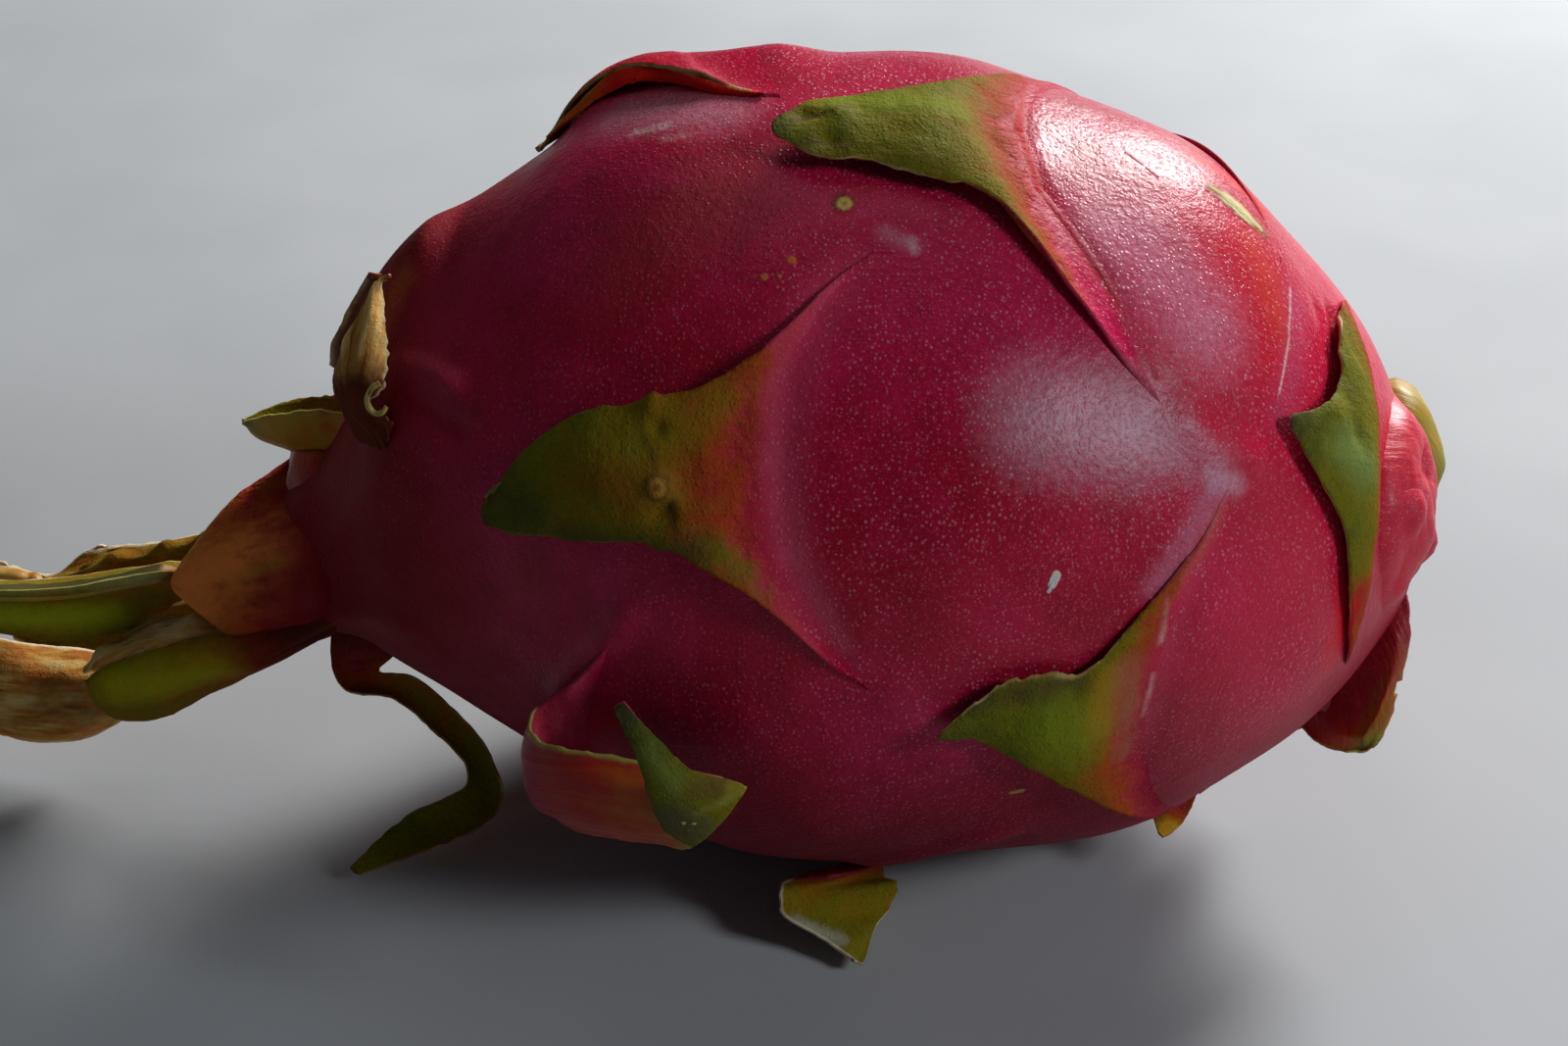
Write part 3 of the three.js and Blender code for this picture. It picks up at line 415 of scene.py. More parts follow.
LOOKS = {
    "under_stem": dict(green=((0.6, 0), (0.8, 0.36), (1, 0.48)), rim=(0, 0), strands=0),
    "front": dict(
        green=((0.14, 0), (0.3, 0.14), (0.44, 0.3), (0.56, 0.5), (0.75, 0.6), (0.88, 0.76),
               (1, 0.92)),
        rim=(0.5, 0.5), rim_span=(0.45, 0.6),
        lumps=(((-22.3, -38.2, 62.4), 1.3, 0.7), ((-22.2, -38.9, 59.9), 1.5, -0.6),
               ((-22.8, -33.4, 68.7), 1.1, 0.8), ((-22.4, -35, 67), 0.8, -0.6),
               ((-29, -35.4, 63), 4, 0.7), ((-19.4, -38, 62.6), 2.2, -0.5)),
        nicks=(((-20, -40, 57.4), 1.2, 0.9), ((-22.6, -40, 57), 1, -0.6),
               ((-22.9, -33, 69.4), 0.9, -0.7),
               ((-28.4, -38.4, 55.6), 1.6, -0.3), ((-12.4, -31.4, 73), 0.8, 0.5))),
    "top": dict(
        green=((0.16, 0), (0.28, 0.22), (0.38, 0.5), (0.5, 0.62), (0.85, 0.68), (1, 0.92)),
        rim=(0.1, 0.6), rim_span=(0.4, 0.6),
        lumps=(((-8.5, -8.6, 87), 1.2, -0.5), ((-5, -8.6, 87.4), 1.4, 0.5),
               ((-6, -12.2, 86), 1.1, -0.4),
               ((4, -8, 87), 3, 0.5), ((10.6, -9, 84.6), 0.8, -0.35), ((12, -11, 83.8), 0.8, -0.35)),
        nicks=(((7, -17.3, 83.4), 1, 0.7), ((-4.6, -4.6, 87.5), 0.8, -0.5),
               ((-9.4, -7.6, 86.8), 0.7, 0.5),
               ((-2, -14.6, 85), 3, 0.7))),
    "low_front": dict(
        green=((0.1, 0), (0.24, 0.14), (0.38, 0.34), (0.5, 0.6), (0.85, 0.7), (1, 0.85)),
        rim=(0.9, 0.35), rim_span=(0.36, 0.5), ragged=0.45,
        lumps=(((15.5, -43.8, 38.5), 4, 0.7), ((17.6, -43, 42.4), 1.2, -0.5),
               ((22.4, -41, 44.4), 1.6, -0.4)),
        nicks=(((18, -42.6, 44), 1.2, 0.5), ((23.2, -40.8, 48.4), 0.5, -0.8),
               ((9.4, -44.8, 43.4), 0.6, -0.5),
               ((6.4, -45, 41), 0.7, 0.5))),
    "stem_shoulder": dict(
        green=((0.14, 0), (0.3, 0.22), (0.4, 0.56), (0.55, 0.68), (0.85, 0.72), (1, 0.96)),
        rim=(0.5, 0.4), rim_span=(0.3, 0.5),
        lumps=(((43.4, -17.4, 63.4), 1.6, -1), ((44.6, -20, 60.6), 2, 0.7),
               ((47, -19, 57), 1.2, -0.4))),
    "stem_top": dict(
        green=((0.1, 0), (0.45, 0), (0.7, 0.2), (0.85, 0.4), (1, 0.6)), rim=(0.7, 0.6),
        rim_span=(0.5, 0.7), ragged=0, ripple=0, lumpy=0, strands=0),
    "back_arch": dict(
        green=((0.2, 0), (0.6, 0.1), (0.85, 0.3), (1, 0.6)), rim=(0.5, 0.8), rim_span=(0.1, 0.3)),
    "arch_band": dict(green=((0, 0.1), (0.1, 0.25), (1, 0.3)), rim=(1, 0.1), strands=0, ripple=0),
    "curled_front": dict(
        green=((0.22, 0), (0.34, 0.04), (0.5, 0.2), (0.66, 0.36), (0.7, 0.6), (0.85, 0.72), (1, 0.95)),
        rim=(1, 0.5), rim_span=(0.24, 0.32, 0.72, 0.8), chalk=0.1, green_rim=0.6,
        nicks=(((-14.4, -47.8, 35), 1, 0.7), ((-26.6, -45.2, 25), 1.4, 0.5))),
    "under_front": dict(
        green=((0.1, 0), (0.3, 0.12), (0.46, 0.46), (0.6, 0.52), (0.85, 0.56), (1, 0.62)), rim=(1, 0.4),
        rim_span=(0.35, 0.5), chalk=0.9),
    "under_stem_tip": dict(green=((0, 0.05), (0.5, 0.3), (1, 0.42)), rim=(0.2, 0.2)),
    "hook_under_neck": dict(
        green=((0, 0.02), (0.16, 0.2), (0.34, 0.42), (0.5, 0.52), (0.8, 0.6), (1, 0.66)),
        flush=(0.7, -1.2), rim=(0.3, 0.3)),
    "shoulder_back": dict(
        green=((0, 0.5), (1, 0.7)), flush=(0.7, 1.2), rim=(0, 1), rim_span=(0, 0.1),
        slot="dry_edges"),
    "dry_shoulder": dict(
        green=((0, 0.3), (0.5, 0.36), (0.7, 0.9), (1, 0.95)), dry=(1.5, -0.6), flush=(-0.5, 1.8),
        rim=(0.4, 1), rim_span=(0, 0.1, 0.6, 0.85), chalk=0.5, ragged=0.6, slot="dry_edges"),
    "curl_lip": dict(
        green=((0, 0.6), (1, 0.7)), rim=(1, 1), chalk=0.4, green_rim=0.4, slot="dry_edges",
        cuts=(40, 10)),
    "pod_on_neck": dict(
        green=((0, 0.36), (0.3, 0.46), (0.8, 0.55), (1, 0.95)), rim=(0.6, 0.6), chalk=0.2, green_rim=1),
    "pod_stalk": dict(green=((0, 0.1), (1, 0.3)), rim=(0.1, 0.1), cuts=(40, 20), slot="skin"),
    "neck_collar": dict(
        green=((0.12, 0), (0.34, 0.12), (0.6, 0.26), (0.8, 0.34), (1, 0.42)),
        dry=(-0.5, 0.46), rim=(1, 1), rim_span=(0.4, 0.7), slot="skin", strands=0.4),
    "green_bract": dict(green=((0, 0.42), (0.3, 0.5), (1, 0.56)), fold=0.8, rim=(0.9, 0.3), chalk=0.4),
    "yellow_back_bract": dict(
        green=((0, 0.36), (0.5, 0.44), (1, 0.52)), dry=(0.25, 0.45), rim=(1, 0.6), chalk=0.7,
        ragged=0.9, ripple=1.1, fold=0.5,
        lumps=(((-74, 2, 31), 1.4, 0.8), ((-79, 2, 30), 1.4, 0.9), ((-85, 2, 28.6), 1.4, 0.8),
               ((-92, 2, 27), 1.8, 0.7))),
    "lower_olive_bract": dict(
        green=((0, 0), (0.2, 0.1), (0.42, 0.36), (0.6, 0.5), (1, 0.56)),
        flush=(1.1, -0.9), rim=(0.8, 0.3), strands=0),
    "tan_curl": dict(
        green=((0, 0.3), (1, 0.4)), dry=(0.45, 0.9), rim=(1, 0.8), chalk=0.9, ragged=0.6, ripple=0.7,
        slot="dry_edges",
        lumps=(((-74, -9.4, 27.8), 1.6, 0.9), ((-79, -9, 26.2), 1.2, -0.6),
               ((-85, -8, 22.6), 1.6, 0.9))),
    "dry_lower_bract": dict(
        green=((0, 0.3), (1, 0.4)), dry=(0.4, 0.6), rim=(1, 0.7), chalk=0.9, ripple=0.8,
        slot="dry_edges"),
    "back_bract": dict(green=((0, 0.2), (0.5, 0.5), (1, 0.8)), rim=(0.8, 0.8)),
    "stem_flap": dict(
        green=((0, 0), (0.5, 0.12), (0.8, 0.45), (1, 0.85)), flush=(0.2, 0.3), rim=(0.2, 0.9),
        rim_span=(0.3, 0.6), green_rim=1, slot="skin", strands=0),
    "stem_rim": dict(
        green=((0, 0), (1, 0)), rim=(0, 0), ripple=0.8, slot="skin", strands=0, lumpy=3,
        lumps=(((55.4, -8, 46), 2, 0.9), ((56, -11, 40), 2.4, -0.9), ((56, -11, 35), 2, 0.9),
               ((52, -13.6, 41), 1.6, 0.7), ((54, -12.6, 44), 1.2, -0.7), ((57, -8, 37.4), 1.2, -0.6),
               ((53, -13.4, 36), 1.2, -0.7), ((54.4, -12.4, 32.4), 1.2, 0.6))),
    "stem_band": dict(green=((0, 0.5), (0.5, 0.6), (1, 0.66)), rim=(1, 1), chalk=0.4, ripple=0.6),
}

# Marks on the skin: two ends (the same for a dot), radius, softness from 0 to 1, colour, strength.
# Later marks cover earlier ones.
MARKS = {
    "scar_ring": ((-4.6, -17.3, 81.7), (-4.6, -17.3, 81.7), 1.3, 0.5, (0.20, 0.035, 0.012), 0.9),
    "scar_dot": ((-4.6, -17.3, 81.7), (-4.6, -17.3, 81.7), 0.85, 0.35, (0.60, 0.40, 0.11), 1),
    "scar_core": ((-4.5, -17.4, 81.7), (-4.4, -17.4, 81.7), 0.3, 0.8, (0.34, 0.18, 0.04), 0.6),
    "pale_patch": ((-0.6, -20.6, 80.2), (1.6, -21.5, 79.6), 1.1, 1, (0.55, 0.26, 0.34), 0.45),
    "pale_edge": ((1.7, -21, 79.8), (2.1, -22.2, 79.1), 0.5, 1, (0.62, 0.40, 0.44), 0.6),
    "flake": ((15.4, -40.2, 53.9), (15, -40.5, 53), 0.5, 0.15, (0.66, 0.58, 0.56), 1),
    "flake_point": ((15, -40.5, 53), (14.7, -40.7, 52.4), 0.26, 0.15, (0.66, 0.58, 0.56), 1),
    "speck": ((-9.7, -23, 78.5), (-9.7, -23, 78.5), 0.5, 0.5, (0.62, 0.16, 0.02), 0.8),
    "second_speck": ((-12.3, -24.3, 77.4), (-12.3, -24.3, 77.4), 0.4, 0.5, (0.6, 0.2, 0.03), 0.7),
    "third_speck": ((-10.9, -24.4, 77.5), (-10.9, -24.4, 77.5), 0.3, 0.5, (0.6, 0.2, 0.03), 0.7),
    "dash": ((12.4, -38.6, 26.8), (13.4, -38.5, 27), 0.4, 0.3, (0.55, 0.32, 0.09), 0.9),
    "scratch": ((24, -3.8, 80.8), (25.4, -5.1, 80.1), 0.22, 0.8, (0.16, 0.05, 0.09), 0.5),
    "second_scratch": ((25.9, -5.6, 79.9), (26.8, -6.4, 79.4), 0.2, 0.8, (0.16, 0.05, 0.09), 0.5),
    "slit_rim": ((33, -4, 77.1), (38.1, -4.4, 72.5), 1.35, 0.5, (0.26, 0.07, 0.015), 0.8),
    "slit_ends": ((32.9, -3.8, 77.2), (38, -4.2, 72.6), 0.5, 0.3, (0.50, 0.42, 0.16), 1),
    "slit": ((34.6, -4, 75.8), (36.6, -4.3, 74), 1.25, 0.3, (0.58, 0.52, 0.26), 1),
    "orange_blush": ((36.4, -8.6, 72.3), (39, -15, 66.2), 3, 1, (0.62, 0.05, 0.012), 0.65),
    "red_blush": ((33, -12, 74), (37.6, -20, 63.8), 3.4, 1, (0.58, 0.012, 0.025), 0.6),
    "margin_band": ((41.4, -10, 67.3), (39, -22.6, 61.4), 2.2, 1, (0.50, 0.06, 0.16), 0.55),
    # The next four marks are the thin pale edge of a scale, with a painted highlight where it catches
    # the light.
    "margin_line": ((40.9, -8.6, 68.4), (40.2, -14.3, 66.4), 0.12, 1, (0.70, 0.46, 0.44), 0.8),
    "margin_teeth": ((40.7, -9.2, 68.3), (40, -14.6, 66.3), 0.2, 1, (0.70, 0.50, 0.46), 0.7),
    "lower_margin_line": ((40.2, -14.3, 66.4), (38, -22.6, 62.2), 0.12, 1, (0.70, 0.42, 0.42), 0.7),
    "lower_margin_teeth": ((40, -14.8, 66), (38.4, -21, 63), 0.2, 1, (0.70, 0.46, 0.44), 0.6),
    # The next two marks are waxy bloom with a painted reflection of the side window over it.
    "front_bloom_and_reflection": ((13.7, -34.2, 67.7), (22.6, -32, 65.3), 5.6, 1, (0.60, 0.42, 0.54), 0.55),
    "bloom_trail_and_reflection": ((23, -32, 65), (31, -30.5, 60), 2.6, 1, (0.62, 0.34, 0.46), 0.35),
    "front_pale_band": ((-11, -32, 71), (-11.4, -36.6, 64.4), 1.4, 1, (0.66, 0.10, 0.17), 0.3),
    "mid_pale_band": ((-11.4, -36.6, 64.4), (-9.6, -40.4, 56.2), 1.6, 1, (0.66, 0.10, 0.17), 0.36),
    "low_pale_band": ((-9.6, -40.4, 56.2), (-4.8, -42.6, 47.6), 1.2, 1, (0.66, 0.10, 0.17), 0.34),
    "low_streak": ((26.4, -37.6, 49.4), (26, -37.9, 45), 0.5, 1, (0.62, 0.44, 0.38), 0.75),
    "lower_streak": ((25.6, -38.2, 41), (25, -38.2, 36), 0.35, 1, (0.58, 0.34, 0.30), 0.6),
    "low_arm": ((27, -37, 50), (32, -32.6, 56), 1.1, 1, (0.52, 0.09, 0.05), 0.7),
    "red_by_top_tip": ((31.6, 1.4, 77.6), (38.6, 1.8, 71.8), 1.7, 0.9, (0.66, 0.008, 0.014), 0.9),
    # Lilac wax bloom with a painted highlight on it.
    "stem_bloom_and_highlight": ((30.6, -30.8, 59.4), (33.4, -30, 57.6), 1.3, 1, (0.66, 0.46, 0.58), 0.5),
    "arm_bloom": ((31.2, -31.4, 58), (25.4, -37.4, 50.6), 1.7, 1, (0.56, 0.30, 0.44), 0.4),
    "crease_line": ((14.2, 8, 83), (13, -4.5, 83.8), 0.6, 0.9, (0.50, 0.008, 0.016), 0.85),
    "mid_crease_line": ((13, -4.5, 83.8), (14.4, -13.2, 81.5), 0.5, 0.9, (0.50, 0.008, 0.016), 0.85),
    "low_crease_line": ((14.4, -13.2, 81.5), (19.8, -20.2, 76.5), 0.35, 0.9, (0.42, 0.008, 0.016), 0.7),
    "crease_end": ((19.8, -20.2, 76.5), (25.2, -27.5, 68.2), 0.35, 0.9, (0.32, 0.012, 0.016), 0.7),
    "orange_outline": ((-54.4, -9, 60), (-49.6, -4.6, 66.6), 2.2, 1, (0.46, 0.09, 0.012), 0.8),
    # Painted highlight haze around the window's reflection, with some waxy bloom.
    "top_right_bloom_and_highlight": ((22.6, -15, 78), (30.6, -21, 71), 5.6, 1, (0.80, 0.34, 0.48), 0.5),
    "shoulder_arm_red": ((47.4, -24.6, 42), (47.2, -27.6, 33), 2.6, 0.9, (0.66, 0.005, 0.012), 0.85),
    "stem_rim_red": ((53.6, -9, 48.6), (54.4, -13, 38), 5, 1, (0.60, 0.003, 0.022), 0.8),
    # Waxy bloom with a painted highlight on the top bulge.
    "top_bloom_and_highlight": ((-26.6, 4, 81.4), (-17, -2, 84.4), 4.5, 1, (0.58, 0.34, 0.42), 0.5),
    "top_patch": ((-25.4, -1.6, 82), (-22.4, -2.4, 83), 0.8, 1, (0.70, 0.56, 0.56), 0.5),
    "second_top_patch": ((-22.2, -5, 82.6), (-19.6, -5.6, 83), 0.6, 1, (0.62, 0.44, 0.40), 0.4),
    "brown_blush": ((-26.5, -19.7, 76.1), (-18, -15.1, 81.4), 6, 1, (0.30, 0.03, 0.01), 0.5),
}

# Marks on both faces of the scales, written the same way.
LEAF_MARKS = {
    # Yellow-olive colour with a painted highlight on it.
    "olive_and_highlight": ((-25.6, -35, 65.6), (-21.6, -36, 66.6), 3, 1, (0.20, 0.15, 0.006), 0.75),
    "orange_patch": ((-27.4, -36.4, 62), (-24, -37.8, 61), 2.6, 1, (0.19, 0.062, 0.006), 0.7),
    "yellow_zone": ((-18.6, -35.6, 68), (-16.4, -34.6, 70), 2, 1, (0.28, 0.16, 0.010), 0.75),
    "red_zone": ((-15, -38.4, 64), (-14.4, -40, 59.6), 3.2, 1, (0.42, 0.045, 0.014), 0.7),
    "areole": ((-22.3, -38.2, 62.4), (-22.3, -38.2, 62.4), 2.6, 0.7, (0.26, 0.15, 0.012), 0.8),
    "areole_ring": ((-22.3, -38.2, 62.4), (-22.3, -38.2, 62.4), 1.5, 0.3, (0.11, 0.045, 0.008), 0.85),
    "areole_lip": ((-22.3, -38.2, 62.4), (-22.3, -38.2, 62.4), 1.05, 0.3, (0.36, 0.18, 0.03), 1),
    "areole_core": ((-22.3, -38.2, 62.4), (-22.3, -38.2, 62.4), 0.45, 0.5, (0.07, 0.02, 0.008), 0.9),
    # Painted shadow in the notch where the blade's edge overlaps.
    "front_notch_shadow": ((-20.9, -38.6, 60.6), (-20, -40, 57), 0.6, 1, (0.035, 0.022, 0.006), 0.85),
    "front_fold": ((-24, -34.4, 67.4), (-22.4, -37.4, 64), 0.6, 1, (0.06, 0.04, 0.010), 0.7),
    "front_margin": ((-31, -36, 55.6), (-18, -40.6, 57), 1.7, 1, (0.06, 0.06, 0.02), 0.75),
    "front_tip": ((-36.6, -32.4, 57.4), (-34.6, -34, 57), 2.6, 1, (0.05, 0.05, 0.016), 0.6),
    "green_arm": ((-17, -40.4, 57.4), (-12, -42.4, 53.6), 1.4, 1, (0.16, 0.14, 0.010), 0.75),
    # Painted light on the top scale's upper face, then painted shade on its lower face.
    "top_painted_light": ((-5, -6, 87.6), (6, -6, 87.4), 2.4, 1, (0.19, 0.23, 0.006), 0.6),
    "top_painted_shade": ((-5.7, -13.6, 85.6), (5, -14.6, 84.8), 2.2, 1, (0.11, 0.085, 0.005), 0.6),
    "gash": ((-9.4, -9.3, 86.8), (-5.6, -8.8, 87.2), 0.5, 0.7, (0.10, 0.04, 0.02), 0.85),
    "second_gash": ((-5, -8, 87.6), (-2.8, -7.6, 87.8), 0.45, 0.7, (0.12, 0.05, 0.02), 0.8),
    "third_gash": ((-8, -12.4, 86), (-4, -13.2, 85.8), 0.3, 0.7, (0.12, 0.07, 0.03), 0.7),
    "low_light": ((15.5, -43.8, 38.5), (18.4, -42.8, 36), 4, 1, (0.17, 0.22, 0.010), 0.7),
    "low_yellow": ((20.4, -42, 42.6), (20.6, -42, 37), 1.8, 1, (0.32, 0.20, 0.012), 0.65),
    "low_brown": ((8.7, -45.1, 42.6), (17.6, -43, 43.4), 1.6, 1, (0.07, 0.055, 0.02), 0.8),
    "low_red": ((23.6, -41, 42.8), (24.4, -38.6, 31.6), 2.1, 1, (0.34, 0.12, 0.07), 0.85),
    "shoulder_light": ((45.5, -21.9, 57.4), (47.6, -20.4, 54), 2.6, 1, (0.20, 0.28, 0.07), 0.7),
    "shoulder_tip": ((39.4, -24.6, 62.4), (39.4, -24.6, 62.2), 0.8, 0.6, (0.08, 0.015, 0.01), 0.9),
    "shoulder_arm": ((48, -24.9, 41.6), (47, -26, 37), 2, 1, (0.44, 0.01, 0.02), 0.9),
    # Green with a painted highlight along the flap's ridge.
    "flap_green_and_highlight": ((-23.4, -51, 41.4), (-20.8, -50.8, 37), 1.3, 1, (0.15, 0.19, 0.035), 0.7),
    "flap_brown": ((-18.6, -50, 36.4), (-16.2, -49.4, 35.6), 1.5, 1, (0.12, 0.075, 0.02), 0.8),
    "flap_dull": ((-21.4, -49.9, 32.6), (-19.6, -49.2, 30.8), 2.8, 1, (0.095, 0.085, 0.045), 0.85),
    "flap_tip": ((-24.8, -51, 44.6), (-26, -51, 46.4), 1, 1, (0.05, 0.05, 0.02), 0.8),
    "flap_streak": ((-18.8, -49.6, 33.4), (-15.6, -49, 34.4), 0.6, 1, (0.30, 0.27, 0.05), 0.7),
    "flap_corner": ((-15.6, -48.6, 35.4), (-14.4, -48.2, 35), 0.9, 0.8, (0.30, 0.24, 0.03), 0.8),
    "spot": ((-20, -49.7, 31.9), (-20, -49.7, 31.9), 0.28, 0.4, (0.60, 0.45, 0.14), 1),
    "second_spot": ((-19, -49.6, 31.8), (-19, -49.6, 31.8), 0.28, 0.4, (0.60, 0.45, 0.14), 1),
    # The next two marks are the band's orange-red with a painted glow of light shining through it.
    "arch_red_glow": ((-12, 0, 85), (-29, 11, 82), 6, 0.9, (0.80, 0.018, 0.012), 1),
    "arch_orange_glow": ((-31, 12, 80), (-36, 10.5, 75.6), 2.6, 1, (0.62, 0.10, 0.008), 0.9),
    # Tan of the collar, brightened as painted light.
    "collar_tan_and_light": ((-67.4, -10.6, 36.6), (-73.6, -11.8, 34.6), 5.5, 1, (0.95, 0.27, 0.06), 0.95),
    "collar_red": ((-60, -12, 36), (-66, -12, 30), 3.4, 1, (0.50, 0.05, 0.03), 0.8),
    "collar_pale": ((-69.6, -11.6, 30.4), (-67.4, -11.4, 27.4), 0.7, 1, (0.75, 0.50, 0.28), 0.8),
    "collar_streak": ((-63, -12, 38), (-70, -11.6, 34), 0.8, 1, (0.40, 0.26, 0.03), 0.6),
    "bract_ridge": ((-104, -7.5, 31), (-78, -8.4, 33.4), 1.3, 1, (0.42, 0.42, 0.15), 0.8),
    "bract_belly": ((-105, -6, 27.4), (-84, -7.4, 27), 2.6, 1, (0.38, 0.42, 0.010), 0.8),
    "dry_patch": ((-92, -5, 13), (-89, -4, 11.5), 2.2, 0.8, (0.10, 0.06, 0.02), 0.7),
    "dry_orange": ((-102, -2, 7), (-89, 0, 6.6), 2.6, 1, (0.45, 0.13, 0.01), 0.8),
    "olive_belly": ((-83, -12, 21.6), (-72, -13.4, 24), 3.6, 1, (0.40, 0.37, 0.012), 0.8),
    "flap_edge": ((56.4, -11, 25), (53.6, -15, 16.6), 1.6, 1, (0.16, 0.17, 0.012), 0.9),
    "shoulder_arm_end": ((47, -27, 40), (47, -28, 33), 2, 1, (0.60, 0.010, 0.022), 0.9),
    "pale_flap": ((-8.6, -31.4, 4.4), (-4.6, -32, 3), 1.3, 0.8, (0.40, 0.40, 0.30), 0.75),
    "yellow_tail": ((-3, -33.8, 2), (0.4, -28, 2.6), 1.2, 1, (0.30, 0.27, 0.02), 0.6),
    # Orange-yellow of the tip, brightened as painted light over its shade.
    "yellow_tip_and_light": ((32, -18.6, 7.2), (30.6, -20, 7.2), 1.3, 1, (0.60, 0.36, 0.02), 0.85),
}


def smooth(low, high, value):
    """0 below low, 1 above high and a smooth rise between."""
    share = np.clip((value - low) / (high - low), 0, 1)
    return share * share * (3 - 2 * share)


def curve(rows, t):
    """Points on the smooth curve through the rows, for an array of t from 0 to the last row."""
    rows = np.asarray(rows, float)
    padded = np.concatenate([2 * rows[:1] - rows[1:2], rows, 2 * rows[-1:] - rows[-2:-1]])
    i = np.clip(np.floor(t).astype(int), 0, len(rows) - 2)
    f = (t - i).reshape(i.shape + (1,) * (rows.ndim - 1))
    p0, p1, p2, p3 = (padded[i + k] for k in range(4))
    square = 2 * p0 - 5 * p1 + 4 * p2 - p3
    cube = 3 * p1 - p0 - 3 * p2 + p3
    return 0.5 * (2 * p1 + (p2 - p0) * f + square * f * f + cube * f * f * f)


def row_point(rows, u, t, fold):
    """Points of a scale at u across it (0 upper edge, 1 lower edge) and t along its rows (0 to 1)."""
    across = curve(rows, t * (len(rows) - 1))
    curved = np.stack([(1 - u) * (1 - 2 * u), 4 * u * (1 - u), u * (2 * u - 1)], axis=-1)
    upper, lower = np.maximum(1 - 2 * u, 0), np.maximum(2 * u - 1, 0)
    bent = np.stack([upper, 1 - np.abs(1 - 2 * u), lower], axis=-1)
    return np.einsum("nk,nkc->nc", (1 - fold) * curved + fold * bent, across)


def meridian():
    """The body's outline as a table: distance along, x, radius, z, y and the outward slope."""
    rings = curve(BODY, np.arange(20 * (len(BODY) - 1) + 1) / 20)
    steps = np.hypot(np.diff(rings[:, 0]), np.diff(rings[:, 1]))
    along = np.concatenate([[0], np.cumsum(steps)])
    rise = np.gradient(rings[:, 1])
    run = np.gradient(rings[:, 0])
    length = np.hypot(rise, run)
    return along, np.column_stack([rings, rise / length, -run / length])


ALONG, OUTLINE = meridian()


def outline_at(along):
    """The body's x, radius, z, y and outward slope at distances along its outline."""
    return [np.interp(along, ALONG, OUTLINE[:, k]) for k in range(6)]


def along_at(x):
    """The distance along the body's outline at x."""
    return np.interp(-np.asarray(x, float), -OUTLINE[:, 0], ALONG)


ROOTS = [root for root, _ in PRESSED.values()] + [plain[0] for plain in PLAIN.values()]
FREE_ROOTS = [(3, -73), (-31, -28), (27, -90)]  # of free scales that the skin swells under
SWELLINGS = [(along_at(x) - CUSHION_SETBACK, angle)
             for x, angle in ROOTS + FREE_ROOTS if x < SWELLING_END]


def fold_share(along, angle, radius, points, width):
    """Nearness, from 0 to 1, to a line on the skin that dies out at its ends."""
    ends = np.array([(along_at(x), turn) for x, turn in points])
    nearest = np.full(along.shape, 1e9)
    share = np.zeros(along.shape)
    for k in range(len(ends) - 1):
        step = ends[k + 1] - ends[k]
        da, db = step[0], np.radians(step[1]) * radius
        a, b = along - ends[k][0], np.radians(angle - ends[k][1]) * radius
        f = np.clip((a * da + b * db) / (da * da + db * db), 0, 1)
        off = np.hypot(a - f * da, b - f * db)
        share = np.where(off < nearest, (k + f) / (len(ends) - 1), share)
        nearest = np.minimum(nearest, off)
    return np.exp(-((nearest / width) ** 2)) * smooth(0, 0.25, share) * smooth(1, 0.75, share)


def relief(along, angle):
    """How far the skin stands out from the plain body, from its swellings, folds and creases."""
    x, radius, z, y, _, _ = outline_at(along)
    bearing = np.radians(angle)
    plain = np.stack([x, y - radius * np.cos(bearing), z + radius * np.sin(bearing)], axis=-1)
    height = sum(rise * grain(plain, size, seed) for rise, size, seed in SKIN_WAVES)
    height = height * smooth(2, 12, radius)
    for start, centre in SWELLINGS:
        turn = (angle - centre + 180) % 360 - 180
        length = (along - start) / CUSHION_LENGTH
        width = radius * np.radians(turn) / CUSHION_WIDTH
        height = height + CUSHION_RISE * np.exp(-length * length - width * width)
    turned = (angle + 180) % 360 - 180
    for points, rise, width, _ in FOLDS.values():
        height = height + rise * fold_share(along, turned, radius, points, width)
    return height * smooth(SCAR_FACE, SCAR_CLEAR, x)


def beside_skin(points):
    """Tint of the folds beside points in millimetres (painted shade and highlight), and how far the
    points stand off the skin.
    """
    along = along_at(points[:, 0])
    _, radius, z, y, _, out_r = outline_at(along)
    angle = np.degrees(np.arctan2(points[:, 2] - z, y - points[:, 1]))
    reach = np.hypot(points[:, 1] - y, points[:, 2] - z)
    tint = np.zeros(len(points))
    for line, _, width, share in FOLDS.values():
        spread = width * (1.6 if share > 0 else 0.9)
        tint = tint + share * fold_share(along, angle, radius, line, spread)
    return tint, (reach - radius) * out_r - relief(along, angle)


def skin_point(along, angle, height):
    """Points at a height above the skin."""
    x, radius, z, y, out_x, out_r = outline_at(along)
    rise = relief(along, angle) + height
    reach = radius + out_r * rise
    turn = np.radians(angle)
    return np.stack([x + out_x * rise, y - reach * np.cos(turn), z + reach * np.sin(turn)], axis=-1)


def settle(height):
    """Lets a scale rise out of the skin without a step: slow where it starts, then as its rows say."""
    share = np.clip(height / SETTLED, 0, 1)
    rising = height * (SETTLE_START + (1 - SETTLE_START) * share)
    return np.where(height < 0, BURIED_SHARE * height, np.where(height < SETTLED, rising, height))


def pressed_place(root, rows, fold):
    """How the points of a scale on the skin are placed, from its rows."""
    start = along_at(root[0])

    def place(u, t):
        s, b, h = row_point(rows, u, t, fold).T
        along = start + s
        radius = np.maximum(np.interp(along, ALONG, OUTLINE[:, 1]), LEAST_RADIUS)
        return skin_point(along, root[1] + np.degrees(b / radius), settle(h))

    return place


